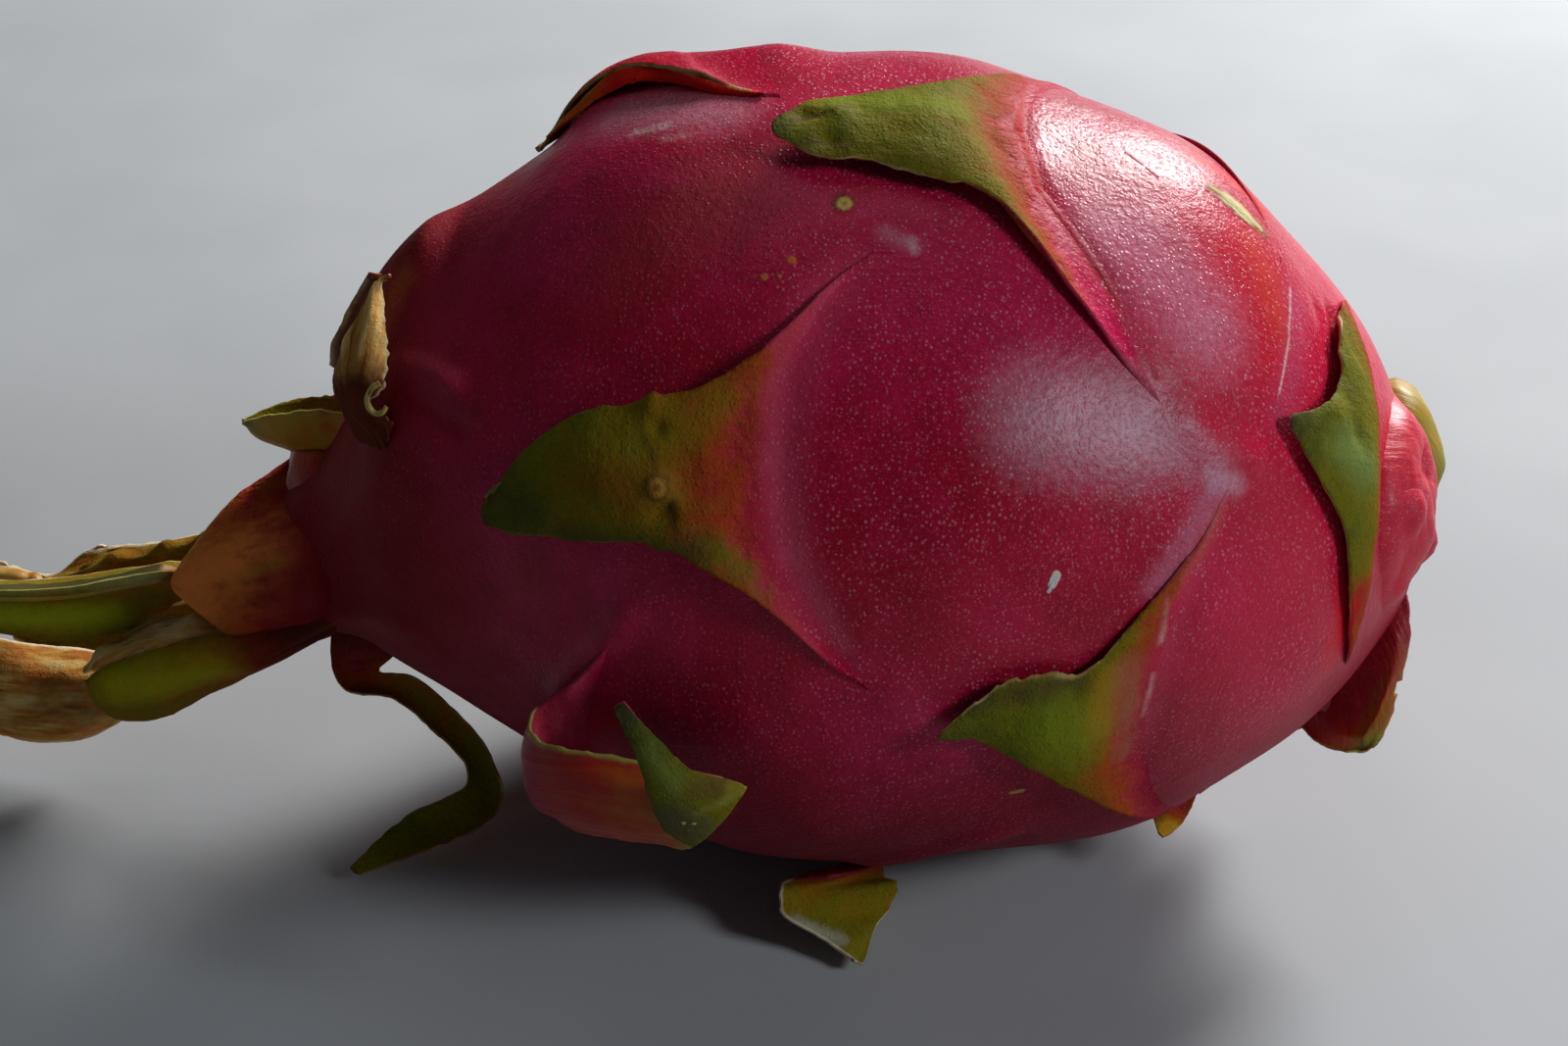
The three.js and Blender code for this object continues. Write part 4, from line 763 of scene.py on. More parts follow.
def plain_rows(size, lift, lean, curl):
    """Rows of a plain scale, sized, leant, lifted and curled."""
    tip = PLAIN_ROWS[-1][0]

    def place(s, b, h):
        share = max(s, 0) / tip
        side = (b + lean * share * share) * size
        raised = h + lift * share * share
        past = s * size - CURL_START
        if not curl or past < 0:
            return s * size, side, raised
        turn = past / curl
        return CURL_START + curl * math.sin(turn), side, raised + curl * (1 - math.cos(turn))

    return [(place(s, b, h), place(s_mid, 0, h_mid), place(s, -b, h))
            for s, b, h, s_mid, h_mid in PLAIN_ROWS]


def free_place(rows, fold):
    """How the points of a free bract are placed, from its rows."""
    return lambda u, t: row_point(rows, u, t, fold)


def grain(points, size, seed):
    """Smooth noise from -1 to 1 at points in millimetres, the same on every run."""
    spot = np.asarray(points) / size + 17.3 * seed
    low = np.floor(spot).astype(np.int64)
    share = spot - low
    share = share * share * (3 - 2 * share)
    total = np.zeros(len(spot))
    for corner in itertools.product((0, 1), repeat=3):
        x, y, z = (low + corner).T
        mixed = (x * 73856093) ^ (y * 19349663) ^ (z * 83492791)
        mixed = ((mixed ^ (mixed >> 13)) * 1274126177) & 0x7FFFFFFF
        value = ((mixed ^ (mixed >> 16)) & 0xFFFF) / 32767.5 - 1
        total += value * np.prod(np.where(corner, share, 1 - share), axis=1)
    return total


def add_mask(mesh, name, values):
    """Keeps a value at each vertex for the materials."""
    mesh.attributes.new(name, "FLOAT", "POINT").data.foreach_set("value", values.astype(np.float32))


def move_verts(bm, points):
    """Puts the vertices at points in millimetres."""
    for vert, point in zip(bm.verts, points):
        vert.co = point * MM


def add_object(bm, name):
    """Turns a bmesh into an object of its own at the origin, smooth all over."""
    mesh = bpy.data.meshes.new(name)
    bm.to_mesh(mesh)
    bm.free()
    for polygon in mesh.polygons:
        polygon.use_smooth = True
    obj = bpy.data.objects.new(name, mesh)
    bpy.context.scene.collection.objects.link(obj)
    return obj, mesh


def join_fruit(obj, slot):
    """Makes a piece a part of the fruit."""
    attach(obj, "root")
    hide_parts("fruit")


def nearness(points, spot, radius):
    """1 at the spot, dying out over the radius."""
    distance = np.linalg.norm(points - spot, axis=1)
    return np.exp(-((distance / radius) ** 2))


def blade_shape(place, look, seed, u, t):
    """Points of a scale's outer face with its nicks, waves and lumps, and what the masks need."""
    step = 0.004
    points = place(u, t)
    onward = place(u, np.minimum(t + step, 1)) - place(u, np.maximum(t - step, 0))
    over = place(np.minimum(u + step, 1), t) - place(np.maximum(u - step, 0), t)
    normal = np.cross(onward, over)
    normal /= np.maximum(np.linalg.norm(normal, axis=1), 1e-9)[:, None]
    over /= np.maximum(np.linalg.norm(over, axis=1), 1e-9)[:, None]
    half = np.linalg.norm(place(np.zeros_like(t), t) - place(np.ones_like(t), t), axis=1) / 2
    inset = np.minimum(u, 1 - u) * 2 * half
    outward = np.where(u < 0.5, -1, 1)[:, None] * over
    free = smooth(0.05, 0.3, t)
    tip = smooth(0, 0.04, 1 - t)
    edge = np.exp(-inset / 0.9)
    notches = grain(points, 1.3, seed) + 0.6 * grain(points, 0.5, seed + 7)
    draw = look["ragged"] * notches * free * tip * np.minimum(half / 2, 1)
    wave = look["ripple"] * np.exp(-inset / 2.5) * grain(points, 5, seed + 3) * free
    leathery = (0.10 * grain(points, 3, seed + 5) + 0.05 * grain(points, 1.2, seed + 9)) * free
    leathery = leathery * look["lumpy"]
    for spot, radius, rise in look["lumps"]:
        leathery = leathery + rise * nearness(points, spot, radius)
    for spot, radius, depth in look["nicks"]:
        draw = draw - depth * nearness(points, spot, radius)
    points = points + outward * (edge * draw)[:, None] + normal * (wave + leathery)[:, None]
    points[:, 2] = np.maximum(points[:, 2], LEAF_CLEAR)
    return points, half, inset


def blade_piece(name, place, look, thick, seed):
    """A leafy scale: a sheet placed by its rows, nicked and waved at its edges, then given a wall."""
    cuts_along, cuts_across = look["cuts"]
    bm = bmesh.new()
    bmesh.ops.create_grid(bm, x_segments=cuts_along, y_segments=cuts_across, size=0.5)
    t, u = (np.array([v.co[:2] for v in bm.verts]) + 0.5).clip(0, 1).T
    points, half, inset = blade_shape(place, look, seed, u, t)
    move_verts(bm, points)
    obj, mesh = add_object(bm, name)

    shares, greens = zip(*look["green"])
    add_mask(mesh, "green", np.interp(t, shares, greens))
    for mask in ("dry", "flush"):
        at_base, at_tip = look[mask]
        add_mask(mesh, mask, at_base + (at_tip - at_base) * t)
    start, full, *fade = look["rim_span"]
    shown = smooth(start, full, t)
    if fade:
        shown = shown * smooth(fade[1], fade[0], t)
    add_mask(mesh, "edge", np.where(u < 0.5, *look["rim"]) * np.exp(-inset / 0.7) * shown)
    for mask in ("chalk", "green_rim"):
        add_mask(mesh, mask, np.full_like(t, look[mask]))
    tint, rise = beside_skin(points)
    add_mask(mesh, "base", smooth(0.2, 1.5, rise) * smooth(0.5, 0.24, t) * look["strands"])
    # The crease mask brings the folds' painted shade and painted highlight onto the scale.
    add_mask(mesh, "crease", tint)
    middle = place(np.full(2, 0.5), np.array([0.0, 1.0]))
    length = np.linalg.norm(middle[1] - middle[0])
    flow = np.stack([(u - 0.5) * 2 * half, t * length, np.full_like(t, 3 * seed)], axis=1) * MM
    mesh.attributes.new("flow", "FLOAT_VECTOR", "POINT").data.foreach_set("vector", flow.ravel())

    wall = obj.vertex_groups.new(name="wall")
    weights = THIN_EDGE + (1 - THIN_EDGE) * smooth(0, 3.5, inset) * smooth(0, 0.12, 1 - t)
    for index, weight in enumerate(weights):
        wall.add([index], float(weight), "REPLACE")
    for material in ("scale outside", "scale inside", "scale rim"):
        mesh.materials.append(bpy.data.materials[material])
    solidify = obj.modifiers.new("wall", "SOLIDIFY")
    solidify.thickness = thick * MM
    solidify.offset = -1
    solidify.vertex_group = "wall"
    solidify.material_offset = 1
    solidify.material_offset_rim = 2
    join_fruit(obj, look["slot"])


def body_piece():
    """The skin: a ball whose points are moved to the body's outline and relief."""
    bm = bmesh.new()
    bmesh.ops.create_uvsphere(bm, u_segments=BODY_CUTS[0], v_segments=BODY_CUTS[1], radius=1)
    x, y, z = np.array([v.co for v in bm.verts]).T
    along = np.arccos(np.clip(z, -1, 1)) / math.pi * ALONG[-1]
    angle = np.degrees(np.arctan2(y, x))
    points = skin_point(along, angle, np.zeros_like(along))
    points[:, 2] = np.maximum(points[:, 2], 0)
    move_verts(bm, points)
    bmesh.ops.recalc_face_normals(bm, faces=bm.faces)
    obj, mesh = add_object(bm, "body")
    # The crease mask holds the folds' painted shade and painted highlight.
    add_mask(mesh, "crease", beside_skin(points)[0])
    mesh.materials.append(bpy.data.materials["waxy skin"])
    join_fruit(obj, "skin")


def scar_piece():
    """The woody end of the cut stem, ribbed round its side and dished at its face."""
    bm = bmesh.new()
    bmesh.ops.create_cone(bm, cap_ends=True, segments=72, radius1=SCAR_RADIUS * 1.2,
                          radius2=SCAR_RADIUS, depth=SCAR_LENGTH)
    top = [f for f in bm.faces if f.normal.z > 0.9]
    for width, rise in SCAR_RINGS:
        bmesh.ops.inset_individual(bm, faces=top, thickness=width, depth=rise)
    for vert in bm.verts:
        angle = math.atan2(vert.co.y, vert.co.x)
        rib = 1
        for count, depth in SCAR_RIBS:
            rib += depth * math.sin(count * angle)
        vert.co.x *= rib
        vert.co.y *= rib
    bmesh.ops.rotate(bm, verts=bm.verts, cent=(0, 0, 0), matrix=Matrix.Rotation(math.pi / 2, 3, "Y"))
    x, _, z, y = BODY[0]
    bmesh.ops.translate(bm, verts=bm.verts, vec=(x - SCAR_SINK, y, z))
    bmesh.ops.scale(bm, verts=bm.verts, vec=(MM, MM, MM))
    obj, mesh = add_object(bm, "stem_scar")
    mesh.materials.append(bpy.data.materials["stem wood"])
    join_fruit(obj, "dry_edges")


# ---- materials ----

FLOAT, VECTOR, COLOUR = "NodeSocketFloat", "NodeSocketVector", "NodeSocketColor"


def colour(value):
    """A colour with its alpha."""
    return (*value, 1.0)


class Graph:
    """Adds nodes to a material or group, with values or links for their inputs."""

    def __init__(self, tree):
        self.tree = tree

    def put(self, socket, value):
        if isinstance(value, bpy.types.NodeSocket):
            self.tree.links.new(value, socket)
        else:
            socket.default_value = colour(value) if socket.type == "RGBA" else value

    def node(self, kind, inputs=(), **settings):
        made = self.tree.nodes.new(kind)
        for name, value in settings.items():
            setattr(made, name, value)
        for name, value in dict(inputs).items():
            self.put(made.inputs[name], value)
        return made

    def math(self, operation, a, b=0.0, c=0.0):
        return self.node("ShaderNodeMath", {0: a, 1: b, 2: c}, operation=operation).outputs[0]

    def times(self, a, b):
        return self.math("MULTIPLY", a, b)

    def times_add(self, a, b, c):
        return self.math("MULTIPLY_ADD", a, b, c)

    def vector(self, operation, a, b=(0, 0, 0), scale=None):
        inputs = {0: a, 1: b} if scale is None else {0: a, "Scale": scale}
        made = self.node("ShaderNodeVectorMath", inputs, operation=operation)
        single = operation in ("LENGTH", "DISTANCE", "DOT_PRODUCT")
        return made.outputs["Value"] if single else made.outputs[0]

    def noise(self, vector, per_mm, detail=2, rough=0.5):
        inputs = {"Vector": vector, "Scale": per_mm / MM, "Detail": detail, "Roughness": rough}
        return self.node("ShaderNodeTexNoise", inputs).outputs["Fac"]

    def span(self, value, low, high, to_low=0.0, to_high=1.0):
        inputs = {"Value": value, "From Min": low, "From Max": high,
                  "To Min": to_low, "To Max": to_high}
        return self.node("ShaderNodeMapRange", inputs, interpolation_type="SMOOTHSTEP").outputs[0]

    def mix(self, share, a, b):
        made = self.node("ShaderNodeMix", data_type="RGBA")
        sockets = {socket.identifier: socket for socket in made.inputs}
        self.put(sockets["Factor_Float"], share)
        self.put(sockets["A_Color"], a)
        self.put(sockets["B_Color"], b)
        return next(s for s in made.outputs if s.identifier == "Result_Color")

    def layers(self, shade, *coats):
        """The shade with coats laid over it in turn, each a share and a colour."""
        for share, tint in coats:
            shade = self.mix(share, shade, tint)
        return shade

    def ramp(self, share, stops):
        made = self.node("ShaderNodeValToRGB", {"Fac": share})
        elements = made.color_ramp.elements
        while len(elements) < len(stops):
            elements.new(0.5)
        for element, (place, value) in zip(elements, stops):
            element.position = place
            element.color = colour(value)
        return made.outputs["Color"]

    def use(self, group, inputs):
        return self.node("ShaderNodeGroup", inputs, node_tree=group).outputs

    def attribute(self, name, output="Fac"):
        return self.node("ShaderNodeAttribute", attribute_name=name).outputs[output]

    def place(self):
        return self.node("ShaderNodeTexCoord").outputs["Object"]


def new_group(name, inputs, outputs):
    """An empty shader node group with its sockets: graph, inputs and outputs."""
    tree = bpy.data.node_groups.new(name, "ShaderNodeTree")
    for label, kind in inputs.items():
        tree.interface.new_socket(label, in_out="INPUT", socket_type=kind)
    for label, kind in outputs.items():
        tree.interface.new_socket(label, in_out="OUTPUT", socket_type=kind)
    graph = Graph(tree)
    return graph, graph.node("NodeGroupInput").outputs, graph.node("NodeGroupOutput").inputs


def speckle_group():
    """Small round pale dots, strewn evenly but missing here and there."""
    inputs = {"Vector": VECTOR, "Spacing": FLOAT, "Size": FLOAT}
    g, given, out = new_group("speckle", inputs, {"Mask": FLOAT})
    cells = g.node("ShaderNodeTexVoronoi", {"Vector": given["Vector"], "Randomness": 0.9,
                                            "Scale": g.math("DIVIDE", 1 / MM, given["Spacing"])})
    luck = g.node("ShaderNodeSeparateColor", {"Color": cells.outputs["Color"]}).outputs
    size = g.times(given["Size"], g.times_add(luck[0], 0.5, 0.7))
    dot = g.span(cells.outputs["Distance"], g.times(size, 1.2), g.times(size, 0.5))
    g.put(out["Mask"], g.times(dot, g.span(luck[1], 0.05, 0.3, 0.2, 1)))
    return g.tree


def mark_group():
    """A mark round the line between two points; Soft sets how gently it ends."""
    inputs = {"Vector": VECTOR, "Start": VECTOR, "End": VECTOR, "Radius": FLOAT, "Soft": FLOAT}
    g, given, out = new_group("mark", inputs, {"Mask": FLOAT})
    run = g.vector("SUBTRACT", given["End"], given["Start"])
    off = g.vector("SUBTRACT", given["Vector"], given["Start"])
    square = g.math("ADD", g.vector("DOT_PRODUCT", run, run), 1e-9)
    share = g.math("DIVIDE", g.vector("DOT_PRODUCT", off, run), square)
    share = g.math("MINIMUM", g.math("MAXIMUM", share, 0.0), 1.0)
    nearest = g.vector("ADD", given["Start"], g.vector("SCALE", run, scale=share))
    distance = g.math("DIVIDE", g.vector("DISTANCE", given["Vector"], nearest), given["Radius"])
    wobble = g.noise(given["Vector"], 0.9, 2)
    distance = g.math("ADD", distance, g.times_add(wobble, 0.8, -0.4))
    inner = g.math("SUBTRACT", 1.0, given["Soft"])
    g.put(out["Mask"], g.span(distance, g.times_add(given["Soft"], 0.6, 1.0), g.times(inner, 0.85)))
    return g.tree


def add_marks(g, mark, place, shade, marks, broken=1.0):
    """The shade with each mark over it, the softest ones thinned by broken, and the others' masks."""
    total = 0.0
    for start, end, radius, soft, tint, strength in marks.values():
        mask = g.use(mark, {"Vector": place, "Start": Vector(start) * MM, "End": Vector(end) * MM,
                            "Radius": radius * MM, "Soft": soft})["Mask"]
        if soft == 1:
            mask = g.times(mask, broken)
        shade = g.mix(g.times(mask, strength), shade, tint)
        if soft < 1:
            total = g.math("ADD", total, mask)
    return shade, total


# Colours of the skin as linear red, green and blue; MAGENTA runs over its broad patches.
MAGENTA = ((0.34, (0.37, 0.003, 0.022)), (0.5, (0.47, 0.005, 0.042)), (0.66, (0.53, 0.010, 0.080)))
BLOTCH = (0.24, 0.003, 0.022)
PINK = (0.62, 0.022, 0.11)
PORE = (0.25, 0.003, 0.03)
# Deep red painted shade in the creases, and paler pink with a painted highlight on the folds.
CREASE_SHADE = (0.42, 0.004, 0.012)
FOLD_PINK_AND_HIGHLIGHT = (0.58, 0.055, 0.12)
# The deeper red of the neck, darkened further as painted shade.
NECK_RED_AND_SHADE = (0.21, 0.004, 0.003)
# Pinker towards the stem end, and brighter there as painted light.
STEM_PINK_AND_LIGHT = (0.66, 0.007, 0.045)
# Painted shade: the skin darkens towards the bottom.
BELLY_SHADE = (0.15, 0.001, 0.009)
DOT_PINK = (0.72, 0.22, 0.28)
DUST_PINK = (0.66, 0.09, 0.16)


def skin_group(speckle, mark):
    """Colour, roughness and relief (in millimetres) of the waxy skin at a point of the fruit; the
    colour holds painted shade, highlights and reflections.
    """
    outputs = {"Color": COLOUR, "Roughness": FLOAT, "Relief": FLOAT}
    g, given, out = new_group("skin finish", {"Vector": VECTOR, "Crease": FLOAT}, outputs)
    place, crease = given["Vector"], given["Crease"]
    parts = g.node("ShaderNodeSeparateXYZ", {"Vector": place}).outputs
    broad = g.noise(place, 0.045, 3)
    middle = g.noise(place, 0.25, 4, 0.6)
    fine = g.noise(place, 1.5, 3, 0.6)
    neck = g.math("ADD", parts["X"], g.times_add(broad, 0.016, -0.008))
    belly = g.math("ADD", parts["Z"], g.times_add(broad, 0.016, -0.008))
    shade = g.layers(
        g.ramp(broad, MAGENTA),
        (g.span(middle, 0.45, 0.75, 0, 0.45), BLOTCH),
        (g.span(middle, 0.52, 0.25, 0, 0.3), PINK),
        (g.span(fine, 0.35, 0.65, 0.25, 0), PORE),
        (g.span(crease, -0.15, -0.9, 0, 0.8), CREASE_SHADE),
        (g.span(crease, 0.05, 0.9, 0, 0.5), FOLD_PINK_AND_HIGHLIGHT),
        (g.span(neck, -0.030, -0.054, 0, 0.88), NECK_RED_AND_SHADE),
        (g.span(neck, 0.018, 0.044, 0, 0.6), STEM_PINK_AND_LIGHT),
        (g.span(belly, 0.050, 0.016, 0, 0.8), BELLY_SHADE))
    dots = g.use(speckle, {"Vector": place, "Spacing": 0.52, "Size": 0.32})["Mask"]
    dust = g.use(speckle, {"Vector": place, "Spacing": 0.34, "Size": 0.34})["Mask"]
    patchy = g.span(g.noise(place, 0.08, 2), 0.34, 0.62, 0.35, 1)
    bright = g.span(neck, -0.045, 0.015, 0.2, 1)
    bright = g.times(bright, g.span(belly, 0.022, 0.056, 0.4, 1))
    shade = g.layers(
        shade,
        (g.times(g.times(dots, 0.62), g.times(patchy, bright)), DOT_PINK),
        (g.times(g.times(dust, 0.45), bright), DUST_PINK))
    broken = g.span(g.noise(place, 2, 4, 0.65), 0.36, 0.6, 0.5, 1)
    shade, spots = add_marks(g, mark, place, shade, MARKS, broken)
    g.put(out["Color"], shade)
    rough = g.times_add(middle, 0.22, 0.22)
    rough = g.math("ADD", g.times_add(dots, 0.06, rough), g.span(neck, -0.034, -0.048, 0, 0.4))
    rough = g.math("ADD", rough, g.span(belly, 0.040, 0.018, 0, 0.35))
    g.put(out["Roughness"], g.times_add(spots, 0.2, rough))
    height = g.times_add(dots, 0.045, g.times(fine, 0.11))
    height = g.times_add(middle, 0.16, height)
    g.put(out["Relief"], g.times_add(spots, 0.08, height))
    return g.tree


def leaf_group():
    """Shares of a scale (green, dry, flushed, edge, base) and its grain."""
    floats = ("Green", "Dry", "Flush", "Edge", "Base", "Vein", "Strand", "Grain", "Patch")
    g, given, out = new_group("scale shares", {"Vector": VECTOR}, {name: FLOAT for name in floats})
    flow = g.attribute("flow", "Vector")
    patch = g.noise(given["Vector"], 0.28, 3, 0.6)
    vein = g.noise(g.vector("MULTIPLY", flow, (1, 0.12, 1)), 1.1, 3, 0.6)
    strand = g.noise(g.vector("MULTIPLY", flow, (0.12, 1, 1)), 1.3, 3, 0.6)
    grain = g.noise(given["Vector"], 4, 2, 0.7)
    green = g.attribute("green")
    blur = g.math("ADD", g.times_add(patch, 0.5, -0.25), g.times_add(vein, 0.2, -0.1))
    loose = g.times_add(patch, 0.6, -0.3)
    shares = {
        "Green": g.times_add(blur, g.span(green, 0.0, 0.2), green),
        "Dry": g.math("ADD", g.attribute("dry"), loose),
        "Flush": g.math("ADD", g.attribute("flush"), g.times_add(vein, 0.5, -0.25)),
        "Edge": g.math("ADD", g.attribute("edge"), g.times_add(patch, 0.5, -0.25)),
        "Base": g.attribute("base"), "Vein": vein, "Strand": strand, "Grain": grain, "Patch": patch,
    }
    for name, value in shares.items():
        g.put(out[name], value)
    return g.tree


def leaf_marks_group(mark):
    """Marks laid over the colour of a scale's face."""
    g, given, out = new_group("scale marks", {"Vector": VECTOR, "Color": COLOUR}, {"Color": COLOUR})
    shade, _ = add_marks(g, mark, given["Vector"], given["Color"], LEAF_MARKS)
    g.put(out["Color"], shade)
    return g.tree


def principled(name, level=0.5, coat=0.0):
    """A new material and its shader, with the strength of its gloss and of a thin coat over it."""
    material = bpy.data.materials.new(name)
    material.use_nodes = True
    g = Graph(material.node_tree)
    shader = next(n for n in material.node_tree.nodes if n.type == "BSDF_PRINCIPLED")
    shader.inputs["Coat Weight"].default_value = coat
    shader.inputs["Coat Roughness"].default_value = 0.2
    shader.inputs["Specular IOR Level"].default_value = level
    return g, shader


def connect(g, shader, shade, rough, relief_mm):
    """Feeds the shader its colour, roughness and relief."""
    bump = g.node("ShaderNodeBump", {"Height": relief_mm, "Distance": MM, "Strength": 1.0})
    g.put(shader.inputs["Base Color"], shade)
    g.put(shader.inputs["Roughness"], rough)
    g.put(shader.inputs["Normal"], bump.outputs["Normal"])


def wax_at(g, skin, place):
    """The finish of the skin at a place, with the creases of the mesh."""
    return g.use(skin, {"Vector": place, "Crease": g.attribute("crease")})


def skin_material(skin):
    g, shader = principled("waxy skin", 0.2)
    wax = wax_at(g, skin, g.place())
    connect(g, shader, wax["Color"], wax["Roughness"], wax["Relief"])


# Ramps of a scale's two faces, from the skin's red to the dark tip, and of what is mottled: its dry
# and flushed places and thin edges, the wood of the scar and the floor.
OUTSIDE = ((0.0, (0.44, 0.020, 0.034)), (0.2, (0.38, 0.050, 0.012)), (0.36, (0.28, 0.095, 0.008)),
           (0.5, (0.21, 0.14, 0.006)), (0.66, (0.155, 0.155, 0.007)), (0.82, (0.095, 0.10, 0.012)),
           (0.97, (0.038, 0.036, 0.016)))
INSIDE = ((0.0, (0.30, 0.004, 0.012)), (0.2, (0.46, 0.022, 0.008)), (0.36, (0.46, 0.10, 0.008)),
          (0.52, (0.42, 0.24, 0.012)), (0.7, (0.28, 0.25, 0.02)), (0.97, (0.10, 0.08, 0.02)))
DRY = ((0.3, (0.18, 0.075, 0.02)), (0.42, (0.50, 0.24, 0.05)), (0.55, (0.68, 0.42, 0.13)),
       (0.66, (0.66, 0.52, 0.26)), (0.78, (0.52, 0.20, 0.04)))
PAPER = ((0.35, (0.26, 0.12, 0.035)), (0.5, (0.46, 0.30, 0.09)), (0.65, (0.52, 0.42, 0.20)))
WOOD = ((0.3, (0.10, 0.045, 0.02)), (0.5, (0.26, 0.14, 0.06)), (0.7, (0.45, 0.32, 0.15)))
FLOOR_GREY = ((0.4, (0.40, 0.42, 0.44)), (0.6, (0.43, 0.45, 0.47)))
DARK_OLIVE = (0.05, 0.042, 0.008)
PALE_OLIVE = (0.26, 0.23, 0.014)
VEIN_TAN = (0.32, 0.20, 0.03)
VEIN_RED = (0.45, 0.07, 0.02)
STRAND_PINK = (0.58, 0.09, 0.13)
RIM_GREEN = (0.40, 0.36, 0.05)
CHALK = (0.68, 0.58, 0.40)
FLUSHED = ((0.3, (0.075, 0.014, 0.008)), (0.55, (0.13, 0.026, 0.012)), (0.75, (0.19, 0.05, 0.02)))


def leaf_shade(g, shares, ramp):
    """The colour of a scale's face from its share of green, with its grain and veins."""
    return g.layers(
        g.ramp(shares["Green"], ramp),
        (g.span(shares["Grain"], 0.45, 0.7, 0, 0.45), DARK_OLIVE),
        (g.span(shares["Grain"], 0.45, 0.25, 0, 0.3), PALE_OLIVE),
        (g.span(shares["Vein"], 0.5, 0.75, 0, 0.15), VEIN_TAN))


def worn_shade(g, shares, shade):
    """Lays the brown red and the papery places over a shade."""
    return g.layers(
        shade,
        (g.span(shares["Flush"], 0.3, 0.8), g.ramp(shares["Vein"], FLUSHED)),
        (g.span(shares["Dry"], 0.3, 0.75), g.ramp(shares["Vein"], DRY)))


def rim_shade(g, shares):
    """Tan, chalky or green thin edges."""
    chalk = g.math("ADD", g.attribute("chalk"), g.times_add(shares["Vein"], 0.6, -0.3))
    return g.layers(
        g.ramp(shares["Patch"], PAPER),
        (g.attribute("green_rim"), RIM_GREEN),
        (g.span(chalk, 0.3, 0.8), CHALK))


def outside_material(skin, leaf, marks):
    g, shader = principled("scale outside", 0.04)
    place = g.place()
    wax = wax_at(g, skin, place)
    shares = g.use(leaf, {"Vector": place})
    strands = g.span(shares["Strand"], 0.35, 0.65, 0.1, 0.5)
    base = g.mix(g.times(shares["Base"], strands), wax["Color"], STRAND_PINK)
    leaf_share = g.span(shares["Green"], 0.0, 0.2)
    face = g.use(marks, {"Vector": place, "Color": leaf_shade(g, shares, OUTSIDE)})["Color"]
    shade = worn_shade(g, shares, g.mix(leaf_share, base, face))
    shade = g.mix(g.span(shares["Edge"], 0.4, 0.85, 0, 0.85), shade, rim_shade(g, shares))
    rough = g.times_add(leaf_share, 0.3, g.times_add(shares["Base"], 0.1, wax["Roughness"]))
    fleece = g.times(shares["Grain"], g.times(leaf_share, 0.06))
    bump = g.times_add(shares["Vein"], g.times(leaf_share, 0.10), fleece)
    bump = g.times_add(shares["Strand"], g.times(shares["Base"], 0.12), bump)
    bump = g.times_add(shares["Patch"], g.times(leaf_share, 0.35), bump)
    connect(g, shader, shade, rough, g.math("ADD", bump, wax["Relief"]))


def inside_material(skin, leaf, marks):
    g, shader = principled("scale inside", 0.3, coat=0.05)
    place = g.place()
    shares = g.use(leaf, {"Vector": place})
    face = g.mix(g.span(shares["Green"], 0.0, 0.15), wax_at(g, skin, place)["Color"],
                 g.ramp(shares["Green"], INSIDE))
    shade = worn_shade(g, shares, g.use(marks, {"Vector": place, "Color": face})["Color"])
    shade = g.mix(g.span(shares["Vein"], 0.5, 0.8, 0, 0.3), shade, VEIN_RED)
    shade = g.mix(g.span(shares["Edge"], 0.4, 0.85, 0, 0.85), shade, rim_shade(g, shares))
    rough = g.times_add(shares["Patch"], 0.25, 0.35)
    bump = g.times_add(shares["Vein"], 0.22, g.times(shares["Grain"], 0.04))
    connect(g, shader, shade, rough, bump)


def rim_material(skin, leaf):
    g, shader = principled("scale rim", 0.35)
    place = g.place()
    wax = wax_at(g, skin, place)
    shares = g.use(leaf, {"Vector": place})
    shade = g.mix(g.span(shares["Edge"], 0.05, 0.5), wax["Color"], rim_shade(g, shares))
    rough = g.times_add(shares["Patch"], 0.2, 0.5)
    connect(g, shader, shade, rough, g.times(shares["Vein"], 0.1))


def wood_material():
    g, shader = principled("stem wood")
    fibre = g.noise(g.vector("MULTIPLY", g.place(), (0.25, 1, 1)), 1.2, 4, 0.6)
    connect(g, shader, g.ramp(fibre, WOOD), g.times_add(fibre, 0.2, 0.65), g.times(fibre, 0.4))


def floor_material():
    g, shader = principled("pale floor")
    g.put(shader.inputs["Base Color"], g.ramp(g.noise(g.place(), 0.02, 2), FLOOR_GREY))
    shader.inputs["Roughness"].default_value = 0.8


def make_materials():
    mark = mark_group()
    skin = skin_group(speckle_group(), mark)
    leaf = leaf_group()
    skin_material(skin)
    marks = leaf_marks_group(mark)
    outside_material(skin, leaf, marks)
    inside_material(skin, leaf, marks)
    rim_material(skin, leaf)
    wood_material()
    floor_material()


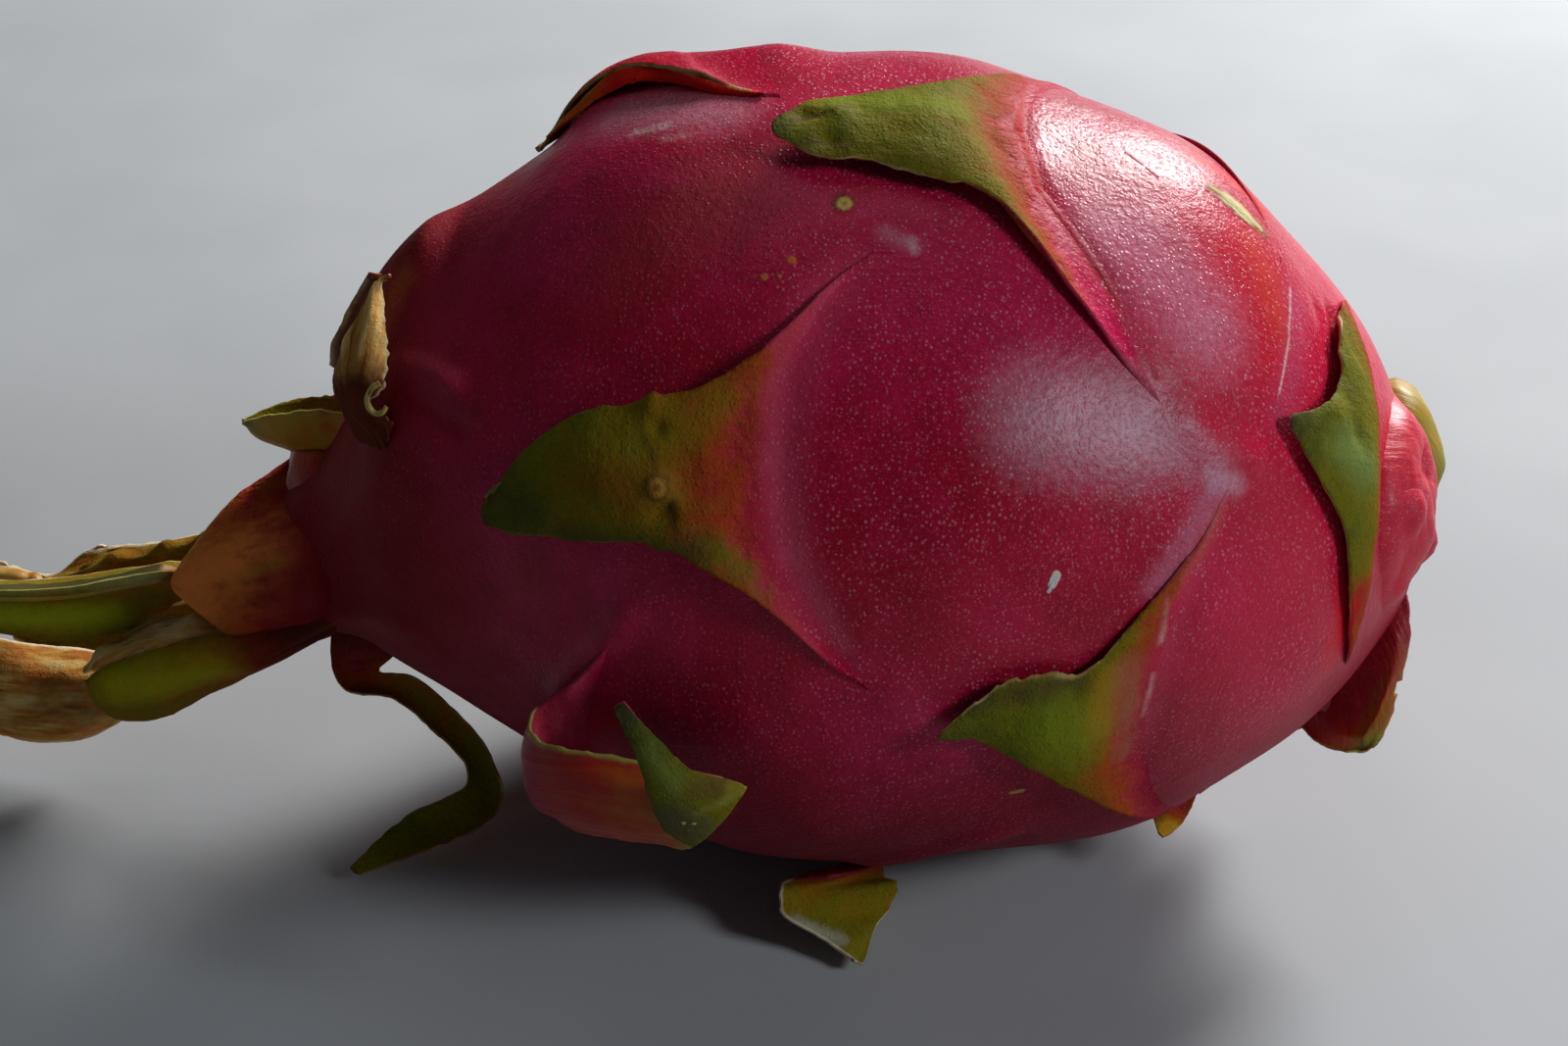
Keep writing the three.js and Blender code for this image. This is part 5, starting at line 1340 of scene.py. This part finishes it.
def scales():
    """Every scale and bract in turn: name, how its points are placed, look and thickness."""
    for name, (root, rows) in PRESSED.items():
        look = USUAL_LOOK | LOOKS[name]
        yield name + "_scale", pressed_place(root, rows, look["fold"]), look, SCALE_THICK
    for name, (root, size, lift, lean, curl) in PLAIN.items():
        look = USUAL_LOOK | PLAIN_LOOK | LOOKS.get(name, {})
        place = pressed_place(root, plain_rows(size, lift, lean, curl), look["fold"])
        yield name + "_scale", place, look, SCALE_THICK
    for name, (thick, rows) in FREE.items():
        look = USUAL_LOOK | dict(rim_span=(0, 0.1)) | LOOKS[name]
        yield name + "_leaf", free_place(rows, look["fold"]), look, thick


def make_floor():
    bm = bmesh.new()
    bmesh.ops.create_grid(bm, x_segments=2, y_segments=2, size=2.5)
    floor, mesh = add_object(bm, "floor")
    mesh.materials.append(bpy.data.materials["pale floor"])


def make_lamp(name, azimuth, elevation, distance, side, power, tint):
    """A square soft lamp that faces the fruit."""
    data = bpy.data.lights.new(name, "AREA")
    data.shape = "RECTANGLE"
    data.size = data.size_y = side
    data.energy = power
    data.color = tint
    lamp = bpy.data.objects.new(name, data)
    bpy.context.scene.collection.objects.link(lamp)
    turn, rise = math.radians(azimuth), math.radians(elevation)
    level = math.cos(rise)
    direction = Vector((math.cos(turn) * level, math.sin(turn) * level, math.sin(rise)))
    lamp.location = direction * distance
    lamp.rotation_euler = (lamp.location - Vector(LAMP_TARGET)).to_track_quat("Z", "Y").to_euler()


def make_world():
    """A dim, slightly blue light from all round, and colours shown as they are."""
    world = bpy.data.worlds.new("studio")
    world.use_nodes = True
    background = world.node_tree.nodes["Background"]
    background.inputs["Color"].default_value = colour((0.85, 0.92, 1.0))
    background.inputs["Strength"].default_value = 0.05
    bpy.context.scene.world = world
    bpy.context.scene.view_settings.view_transform = "Standard"


def make_camera():
    data = bpy.data.cameras.new("camera")
    data.lens = CAMERA_LENS
    data.sensor_width = 36
    data.clip_start = 0.01
    camera = bpy.data.objects.new("camera", data)
    camera.location = CAMERA_PLACE
    camera.rotation_euler = (math.radians(CAMERA_TILT), 0, 0)
    bpy.context.scene.collection.objects.link(camera)
    bpy.context.scene.camera = camera


for lamp_name, lamp_values in LAMPS.items():
    make_lamp(lamp_name, *lamp_values)
make_world()
make_camera()
make_materials()
body_piece()
scar_piece()
for seed, scale in zip(itertools.count(FIRST_SEED, SEED_STEP), scales()):
    blade_piece(*scale, seed)
make_floor()
